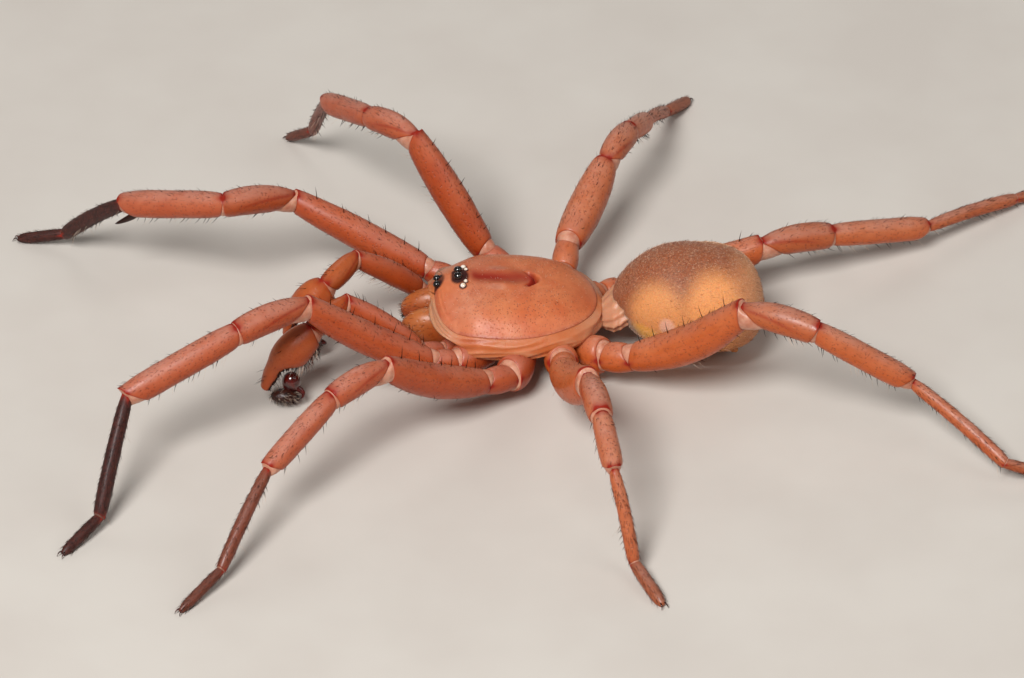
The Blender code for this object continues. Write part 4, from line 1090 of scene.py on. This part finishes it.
def shield_coat():
    """Sparse, very short hair on the shield, denser along its edge and behind the pit."""
    rng = random.Random("shield")
    hairs = []
    while len(hairs) < 500:
        turn, share = rng.uniform(0, 2 * math.pi), math.sqrt(rng.random())
        x, y = outline_point(turn, share * 0.99)
        if math.hypot(x + 2.2, y) < 0.9 and rng.random() < 0.8:
            continue
        root = Vector((x, y, carapace_top(x, y)))
        slope = Vector((carapace_top(x - 0.03, y) - carapace_top(x + 0.03, y),
                        carapace_top(x, y - 0.03) - carapace_top(x, y + 0.03), 0.06)).normalized()
        lean = Vector((rng.uniform(-0.9, 0.1), rng.uniform(-0.5, 0.5), 0.0))
        aim = (slope * 0.55 + lean).normalized()
        finish = 2 if rng.random() < 0.8 else 1
        hairs.append((root - slope * 0.004, aim, slope * -0.1, rng.uniform(0.07, 0.13), 0.008,
                      (0.5 + x / 8, 0.5 + y / 8), finish))
    for i in range(7):
        x = -3.1 + 0.05 * i + rng.uniform(-0.03, 0.03)
        y = rng.uniform(-0.5, 0.5)
        hairs.append((Vector((x, y, carapace_top(x, y))), Vector((-0.7, 0.0, 0.7)), Vector((-0.2, 0.0, -0.1)),
                      0.3, 0.02, (0.5 + x / 8, 0.5 + y / 8), 0))
    hair_piece("carapace_coat", hairs)


def build_eyes():
    """Eight clear lenses on their pigment."""
    for number, (x, y, radius, rise, finish) in enumerate(EYES):
        lenses = []
        for side in (-1, 1):
            middle = Vector((x, side * y, carapace_top(x, side * y) + rise))
            tilt = Vector((-0.25, side * 0.5, 1.0)).normalized()
            across = tilt.cross(Vector((1.0, 0.0, 0.0))).normalized()
            along = across.cross(tilt)
            rings = []
            for i in range(17):
                polar = math.radians(2 + 118 * i / 16)
                rings.append([middle + tilt * (radius * 0.85 * math.cos(polar))
                              + (across * math.cos(t) + along * math.sin(t)) * (radius * math.sin(polar))
                              for t in around(32)])
            lenses.append(rings)
        add_piece("eye_pair_%d" % (number + 1), lenses, [finish],
                  replaces=["eyes_rear" if number else "eyes_front"])


# Underside

# Share of the sternum's plan at each height, from inside the body down to its flat face
STERNUM_PROFILE = ((1.0, 1.5), (1.04, 1.2), (1.0, 0.98), (0.93, 0.88), (0.8, 0.84), (0.5, 0.82), (0.1, 0.82))


def build_underside():
    """Hard sternum between the coxae."""
    rings, zones = [], []
    for share, height in STERNUM_PROFILE:
        ring = []
        for turn in around(160):
            notch = 1 - 0.06 * abs(math.sin(turn * 4)) ** 3
            ring.append(Vector((STERNUM_MIDDLE_X + STERNUM_HALF_LENGTH * share * notch * math.cos(turn),
                                STERNUM_HALF_WIDTH * share * notch * math.sin(turn), height)))
            zones.append((0.0, 0.4 * bell(share, 0.93, 0.05), 0.0, 0.8 if share < 0.9 else 0.0))
        rings.append(ring)
    add_piece("sternum_plate", [rings], ["shield"], zones, ["sternum"])


# Jaws

CHELICERA_MIDDLE = (-3.24, 0.64, 1.69)
CHELICERA_SIZE = (1.16, 0.59, 0.85)
FANG_ROOT = (-4.15, 0.64, 0.82)
FANG_CURL = 0.75           # radius of its curve, which runs from one turn to the other
FANG_TURNS = (290, 385)
FANG_RADIUS = 0.21


def chelicera_place(side, polar, turn):
    """Point on a chelicera, with its poles on the long axis from root to tip."""
    unit = Vector((-math.cos(polar), math.sin(polar) * math.cos(turn), math.sin(polar) * math.sin(turn)))
    fore = max(0.0, -unit.x)
    inner = max(0.0, -unit.y * side)
    point = Vector((CHELICERA_MIDDLE[0] + unit.x * CHELICERA_SIZE[0],
                    side * CHELICERA_MIDDLE[1] + unit.y * CHELICERA_SIZE[1] * (1 - 0.1 * fore - 0.08 * inner),
                    CHELICERA_MIDDLE[2] + unit.z * CHELICERA_SIZE[2] * (1 - 0.08 * fore) - 0.05 * fore))
    return point + unit * (0.015 * noise.noise(point * 2.0))


def build_jaws():
    """Chelicerae with their rakes of short teeth, and the folded fangs."""
    for label, side in (("left", -1), ("right", 1)):
        rings, zones = [], []
        for polar in pole_to_pole(40, 1):
            rings.append([chelicera_place(side, polar, turn) for turn in around(56)])
            for turn in around(56):
                inner = max(0.0, -math.cos(turn) * side)
                red = 0.35 * inner ** 3 + 0.25 * bell(math.degrees(polar), 22, 12) * max(0.0, -math.sin(turn))
                zones.append((0.25 * eased(polar, 1.7, 2.2), min(1.0, red), 0.0, 0.6))
        add_piece("chelicera_%s_skin" % label, [rings], ["jaw"], zones, ["chelicera_" + label])
        build_rake(label, side)
        build_fang(label, side)


def build_rake(label, side):
    """Short stout digging teeth and stiff hairs at the lower front of a chelicera."""
    rng = random.Random("rake" + label)
    hairs = []
    for _ in range(26):
        polar, turn = rng.uniform(0.25, 0.75), BELOW + rng.uniform(-1.0, 1.0)
        root = chelicera_place(side, polar, turn)
        hairs.append((root, Vector((-0.8, 0.0, -0.6)), Vector((0.1, 0.0, -0.1)), rng.uniform(0.1, 0.18),
                      0.05, (0.1 + polar / 4, 0.5 + turn / 9), 0))
    for _ in range(260):
        polar, turn = rng.uniform(0.2, 1.7), rng.uniform(-math.pi, math.pi)
        root = chelicera_place(side, polar, turn)
        outward = (root - scaled(CHELICERA_MIDDLE, (1, side, 1))).normalized()
        # Thinner on top, but not towards the other jaw
        if outward.z > 0.3 and not outward.y * side < -0.3 and rng.random() < 0.6:
            continue
        aim = (Vector((-0.9, 0.0, -0.25)) + outward * 0.6).normalized()
        hairs.append((root - outward * 0.01, aim, Vector((0.0, 0.0, -0.15)), rng.uniform(0.1, 0.24), 0.012,
                      (0.1 + polar / 4, 0.5 + turn / 9), rng.choice((0, 1, 1, 2))))
    hair_piece("chelicera_%s_coat" % label, hairs)


def build_fang(label, side):
    """Curved, tapering fang folded back under its chelicera."""
    first, last = (math.radians(turn) for turn in FANG_TURNS)
    start = scaled(FANG_ROOT, (1, side, 1))
    points, radii = [], []
    for i in range(17):
        along = i / 16
        turn = first + (last - first) * along
        points.append(start + Vector((FANG_CURL * (math.sin(turn) - math.sin(first)), 0.0,
                                      -FANG_CURL * (math.cos(turn) - math.cos(first)))))
        radii.append(FANG_RADIUS * (1 - along) ** 0.7 + 0.012)
    add_piece("fang_%s_blade" % label, [tapered(points, radii, 16)], ["fang"],
              replaces=["fang_" + label])


# Palps

PAD_PLACE, PAD_SIZE = (0.6, -0.02, -0.4), (0.52, 0.3, 0.27)
BULB_PLACE, BULB_SIZE = (0.86, -0.26, 0.1), (0.36, 0.34, 0.42)
NEEDLE_STEPS = 20
NEEDLE_SWEEP = 150         # degrees
NEEDLE_RADIUS = 0.15


def ball(middle, size, rows=24, columns=36, dent=0.0):
    """Rings of an ellipsoid, a little uneven."""
    rings = []
    for polar in pole_to_pole(rows, 1):
        ring = []
        for turn in around(columns):
            unit = Vector((math.sin(polar) * math.cos(turn), math.sin(polar) * math.sin(turn),
                           math.cos(polar)))
            ring.append(middle + scaled(unit, size) * (1 + dent * noise.noise(unit * 2.5)))
        rings.append(ring)
    return rings


def build_palps():
    """Palps with their swollen tibiae, bristles and mating organs."""
    for label, palp in PALPS.items():
        segments = palp_parts(palp)
        prefix = "palp_" + label
        limb_skin(prefix + "_skin", segments, (0.0,) * 5, 0.4, ["front_femur", "palp"],
                  [prefix + part for part in ("_coxa", "_femur", "_patella", "_tibia")])
        palp_organ(label, palp, segments[-1])
        palp_coat(label, segments)


def palp_organ(label, palp, tibia):
    """Dark pad with its hair, the glossy bulb on it and the curved needle."""
    side = palp["side"]
    wrist = limb_joints(palp, PALP_LENGTH, foot=False)[-1]
    middle = wrist + scaled(PAD_PLACE, (1, side, 1))
    pad = ball(middle, PAD_SIZE, dent=0.06)
    bulb_middle = wrist + scaled(BULB_PLACE, (1, side, 1))
    bulb = ball(bulb_middle, BULB_SIZE)
    needle, radii = [], []
    for i in range(NEEDLE_STEPS + 1):
        along = i / NEEDLE_STEPS
        sweep = math.radians(NEEDLE_SWEEP * along)
        needle.append(bulb_middle + Vector((0.1 + 0.36 * math.sin(sweep), side * 0.34 * along,
                                            -0.2 - 0.44 * along)))
        radii.append(NEEDLE_RADIUS * (1 - along) ** 1.1 + 0.012)
    add_piece("palp_%s_bulb_and_needle" % label, [bulb, tapered(needle, radii, 14)], ["bulb"],
              replaces=["palp_%s_bulb" % label])
    zones = [(0.0, 0.0, 0.0, 0.3)] * sum(len(ring) for ring in pad)
    add_piece("palp_%s_pad" % label, [pad], ["pad"], zones, ["palp_%s_bulb" % label])
    rng = random.Random("pad" + label)
    hairs = []
    for _ in range(420):
        unit = Vector((rng.gauss(0, 1), rng.gauss(0, 1), rng.gauss(0, 1))).normalized()
        root = middle + scaled(unit, PAD_SIZE)
        aim = (unit + Vector((0.7, 0.0, -0.2))).normalized()
        length = rng.uniform(0.12, 0.26)
        if (root + aim * length).z < 0.02:
            continue
        hairs.append((root - unit * 0.01, aim, Vector((0.1, 0.0, -0.1)), length, 0.014,
                      (0.5 + unit.x / 3, 0.5 + unit.y / 3), rng.choice((0, 0, 0, 0, 0, 2))))
    hair_piece("palp_%s_pad_coat" % label, hairs)


def palp_coat(label, segments):
    """Hair of a palp: fine all over, long and mixed under the tibia, stout spines at its end."""
    coxa, trochanter, femur, patella, tibia = range(5)
    coat = Coat("palp" + label, segments, [i / 5 for i in range(6)])
    rng = coat.rng
    for number, density in ((coxa, 10), (trochanter, 10), (femur, 12), (patella, 12), (tibia, 9)):
        coat.brush(number, coat.count(number, density), (0.03, 0.98), (0.0, 0, 2 * math.pi), (0.08, 0.16),
                   0.008, (12, 30), "brown", "black")
    for number, count in ((femur, 20), (patella, 10), (tibia, 6)):
        coat.brush(number, count, (0.1, 0.95), (ABOVE, -0.7, 0.7), (0.2, 0.4), 0.022, (40, 65), "black")
    for _ in range(130):
        finish = rng.choice(("black", "black", "black", "brown", "pale"))
        coat.grow(tibia, rng.uniform(0.05, 0.5), BELOW + rng.uniform(-0.8, 0.8), rng.uniform(0.3, 0.6),
                  0.024, rng.uniform(50, 80), finish, 0.3)
    # Crowded short spines along both edges of the scoop
    for side in (-1, 1):
        coat.brush(tibia, 100, (0.5, 0.99), (BELOW, side * 0.7, side * 1.2), (0.09, 0.15), 0.06, (60, 85),
                   "black", droop=0.05)
    coat.brush(tibia, 40, (0.45, 0.97), (BELOW, -0.6, 0.6), (0.15, 0.4), 0.02, (50, 80), "black", droop=0.1)
    coat.brush(femur, 40, (0.1, 0.95), (BELOW, -0.8, 0.8), (0.3, 0.55), 0.014, (50, 75), "brown", "pale",
               droop=0.25)
    hair_piece("palp_%s_coat" % label, coat.hairs)


# Abdomen

def abdomen_place(polar, turn):
    """Point on the abdomen; polar 0 is its front end and turn 90 degrees its top."""
    unit = Vector((-math.cos(polar), math.sin(polar) * math.cos(turn), math.sin(polar) * math.sin(turn)))
    forward, behind = max(0.0, -unit.x), max(0.0, unit.x)
    taper = 1.0 - ABDOMEN_FRONT_TAPER * forward ** 2 + ABDOMEN_REAR_FULLNESS * behind ** 2 * (1 - behind ** 6)
    along = math.copysign(abs(unit.x) ** 0.92, unit.x)
    low_rear = behind * max(0.0, -unit.z)
    droop = ABDOMEN_REAR_DROOP * low_rear
    point = Vector(ABDOMEN_MIDDLE) + Vector((
        along * ABDOMEN_SIZE[0] / 2 + ABDOMEN_REAR_REACH * low_rear,
        unit.y * taper * ABDOMEN_SIZE[1] / 2,
        unit.z * taper * ABDOMEN_SIZE[2] / 2 + ABDOMEN_FRONT_RISE * forward ** 2 - droop))
    swell = 0.05 * noise.noise(point * 0.55) - 0.05 * bell(unit.x, 0.1, 0.12) * max(0.0, abs(unit.y) - 0.3)
    return point + unit * swell


ABDOMEN_ROWS, ABDOMEN_COLUMNS = 90, 120
WAIST_START, WAIST_END = (3.24, 0.0, 1.85), (4.5, 0.0, 2.4)
WAIST_SIZE = (0.0, 0.72, 0.44)
WAIST_STEPS, WAIST_COLUMNS = 14, 96
WAIST_PLEATS = 11


def build_abdomen():
    """Velvety abdomen with its waist and spinnerets."""
    rings = [[abdomen_place(polar, turn) for turn in around(ABDOMEN_COLUMNS)]
             for polar in pole_to_pole(ABDOMEN_ROWS, 0.6)]
    waist = []
    for i in range(WAIST_STEPS + 1):
        along = i / WAIST_STEPS
        middle = Vector(WAIST_START).lerp(Vector(WAIST_END), along)
        flare = 1 + 0.6 * eased(along, 0.0, 0.5) - 0.2 * eased(along, 0.65, 1.0) + 0.04 * math.cos(i * 2.1)
        waist.append([middle + scaled((0.0, math.cos(turn), math.sin(turn)), WAIST_SIZE)
                      * (flare * (1 + 0.05 * math.cos(turn * WAIST_PLEATS + i * 0.35)))
                      for turn in around(WAIST_COLUMNS)])
    zones = [(0.0, 0.0, 0.8, 0.0)] * sum(len(ring) for ring in rings + waist)
    piece = add_piece("abdomen_and_waist", [rings, waist], ["abdomen", "soft"], zones, ["abdomen"])
    for polygon in piece.data.polygons:
        polygon.material_index = int(polygon.vertices[0] >= len(rings) * ABDOMEN_COLUMNS)
    abdomen_coat()
    build_spinnerets()


def abdomen_coat():
    """Short velvety pile, with a few longer dark hairs."""
    rng = random.Random("abdomen")
    hairs = []
    for _ in range(11000):
        polar = math.acos(1 - 2 * rng.random())
        turn = rng.uniform(0, 2 * math.pi)
        if polar < 0.3:
            continue
        root = abdomen_place(polar, turn)
        a = abdomen_place(polar + 0.02, turn) - root
        b = abdomen_place(polar, turn + 0.02) - root
        outward = b.cross(a).normalized()
        if outward.dot(root - Vector(ABDOMEN_MIDDLE)) < 0:
            outward = -outward
        back = a.normalized()
        dark = rng.random() < 0.06
        aim = (outward * rng.uniform(0.45, 0.9) + back * 0.8
               + back.cross(outward) * rng.uniform(-0.3, 0.3)).normalized()
        length = rng.uniform(0.12, 0.22) if dark else rng.uniform(0.06, 0.11)
        hairs.append((root - outward * 0.008, aim, outward * -0.12, length, 0.011 if dark else 0.012,
                      (polar / math.pi * 0.99, turn / (2 * math.pi) * 0.99), 1 if dark else 0))
    hair_piece("abdomen_coat", hairs, ("velvet", "brown"))


SPINNERET_BASE, SPINNERET_MOUND = (8.15, 0.0, 0.5), (0.42, 0.55, 0.26)
SPINNERETS = ((0.3, 0.48, 0.17), (0.12, 0.34, 0.11))  # off the midline, length, radius
SPINNERET_JOINTS = (0.48, 0.78)
SPINNERET_STEPS = 20


def build_spinnerets():
    """Short jointed spinnerets below the abdomen's end."""
    base = Vector(SPINNERET_BASE)
    group = [ball(base, SPINNERET_MOUND, 16, 28, 0.05)]
    for side in (-1, 1):
        outward = Vector((0.8, side * 0.25, -0.2)).normalized()
        for place, length, radius in SPINNERETS:
            root = base + Vector((0.0, side * place, 0.0))
            points, radii = [], []
            for i in range(SPINNERET_STEPS + 1):
                along = i / SPINNERET_STEPS
                points.append(root + outward * (length * along))
                joint = 0.12 * sum(bell(along, middle, 0.03) for middle in SPINNERET_JOINTS)
                radii.append(radius * (1 - 0.35 * along - joint) * math.sqrt(max(0.02, 1 - along ** 8)))
            group.append(tapered(points, radii, 20))
    add_piece("spinneret_group", group, ["abdomen"], replaces=["spinnerets"])


# Stage

LIGHTS = (  # name, direction from the body, distance, size and power, in metres and watts
    ("key_light", (-0.35, -0.85, 1.05), 0.32, 0.12, 1.05),
    ("fill_light", (0.9, -0.5, 0.9), 0.4, 0.25, 0.2),
    ("rim_light", (-0.2, 1.0, 0.9), 0.4, 0.2, 0.13),
)
WORLD_STRENGTH = 0.17
FLOOR_HALF = 0.6           # metres


def build_stage():
    """Pale floor, soft light and the camera."""
    mesh = bpy.data.meshes.new("floor")
    mesh.from_pydata([(x * FLOOR_HALF, y * FLOOR_HALF, 0) for x, y in ((-1, -1), (1, -1), (1, 1), (-1, 1))],
                     [], [(0, 1, 2, 3)])
    # Studio floor: matt coated card, pale and warm grey, clouded every 6 mm
    mesh.materials.append(two_tone("matt_card", 6.0, "CDC5BC", "D2CBC2", IOR=1.45, Roughness=0.85)[0])
    floor = linked("floor", mesh)

    for name, toward, distance, size, power in LIGHTS:
        data = bpy.data.lights.new(name, "AREA")
        data.energy = power
        data.shape = "DISK"
        data.size = size
        light = linked(name, data)
        direction = Vector(toward).normalized()
        light.location = BODY_MIDDLE + direction * distance
        light.rotation_euler = direction.to_track_quat("Z", "Y").to_euler()
    bpy.context.scene.view_settings.view_transform = "Standard"
    world = bpy.data.worlds.new("studio")
    world.use_nodes = True
    background = world.node_tree.nodes["Background"]
    background.inputs[0].default_value = linear("F4F1ED")
    background.inputs[1].default_value = WORLD_STRENGTH
    bpy.context.scene.world = world

    elevation = math.radians(CAMERA_ELEVATION)
    forward = Vector((0.0, math.cos(elevation), -math.sin(elevation)))
    data = bpy.data.cameras.new("camera")
    data.sensor_width = 36.0
    data.lens = data.sensor_width * PIXELS_PER_MM * CAMERA_DISTANCE / PHOTO_WIDTH
    data.clip_start = 0.005
    camera = linked("camera", data)
    camera.location = to_world(Vector(CAMERA_AIM) - forward * CAMERA_DISTANCE)
    camera.rotation_euler = (math.pi / 2 - elevation, 0.0, 0.0)
    bpy.context.scene.camera = camera


build_stage()
build_shield()
build_eyes()
build_underside()
build_jaws()
build_palps()
build_legs()
build_abdomen()
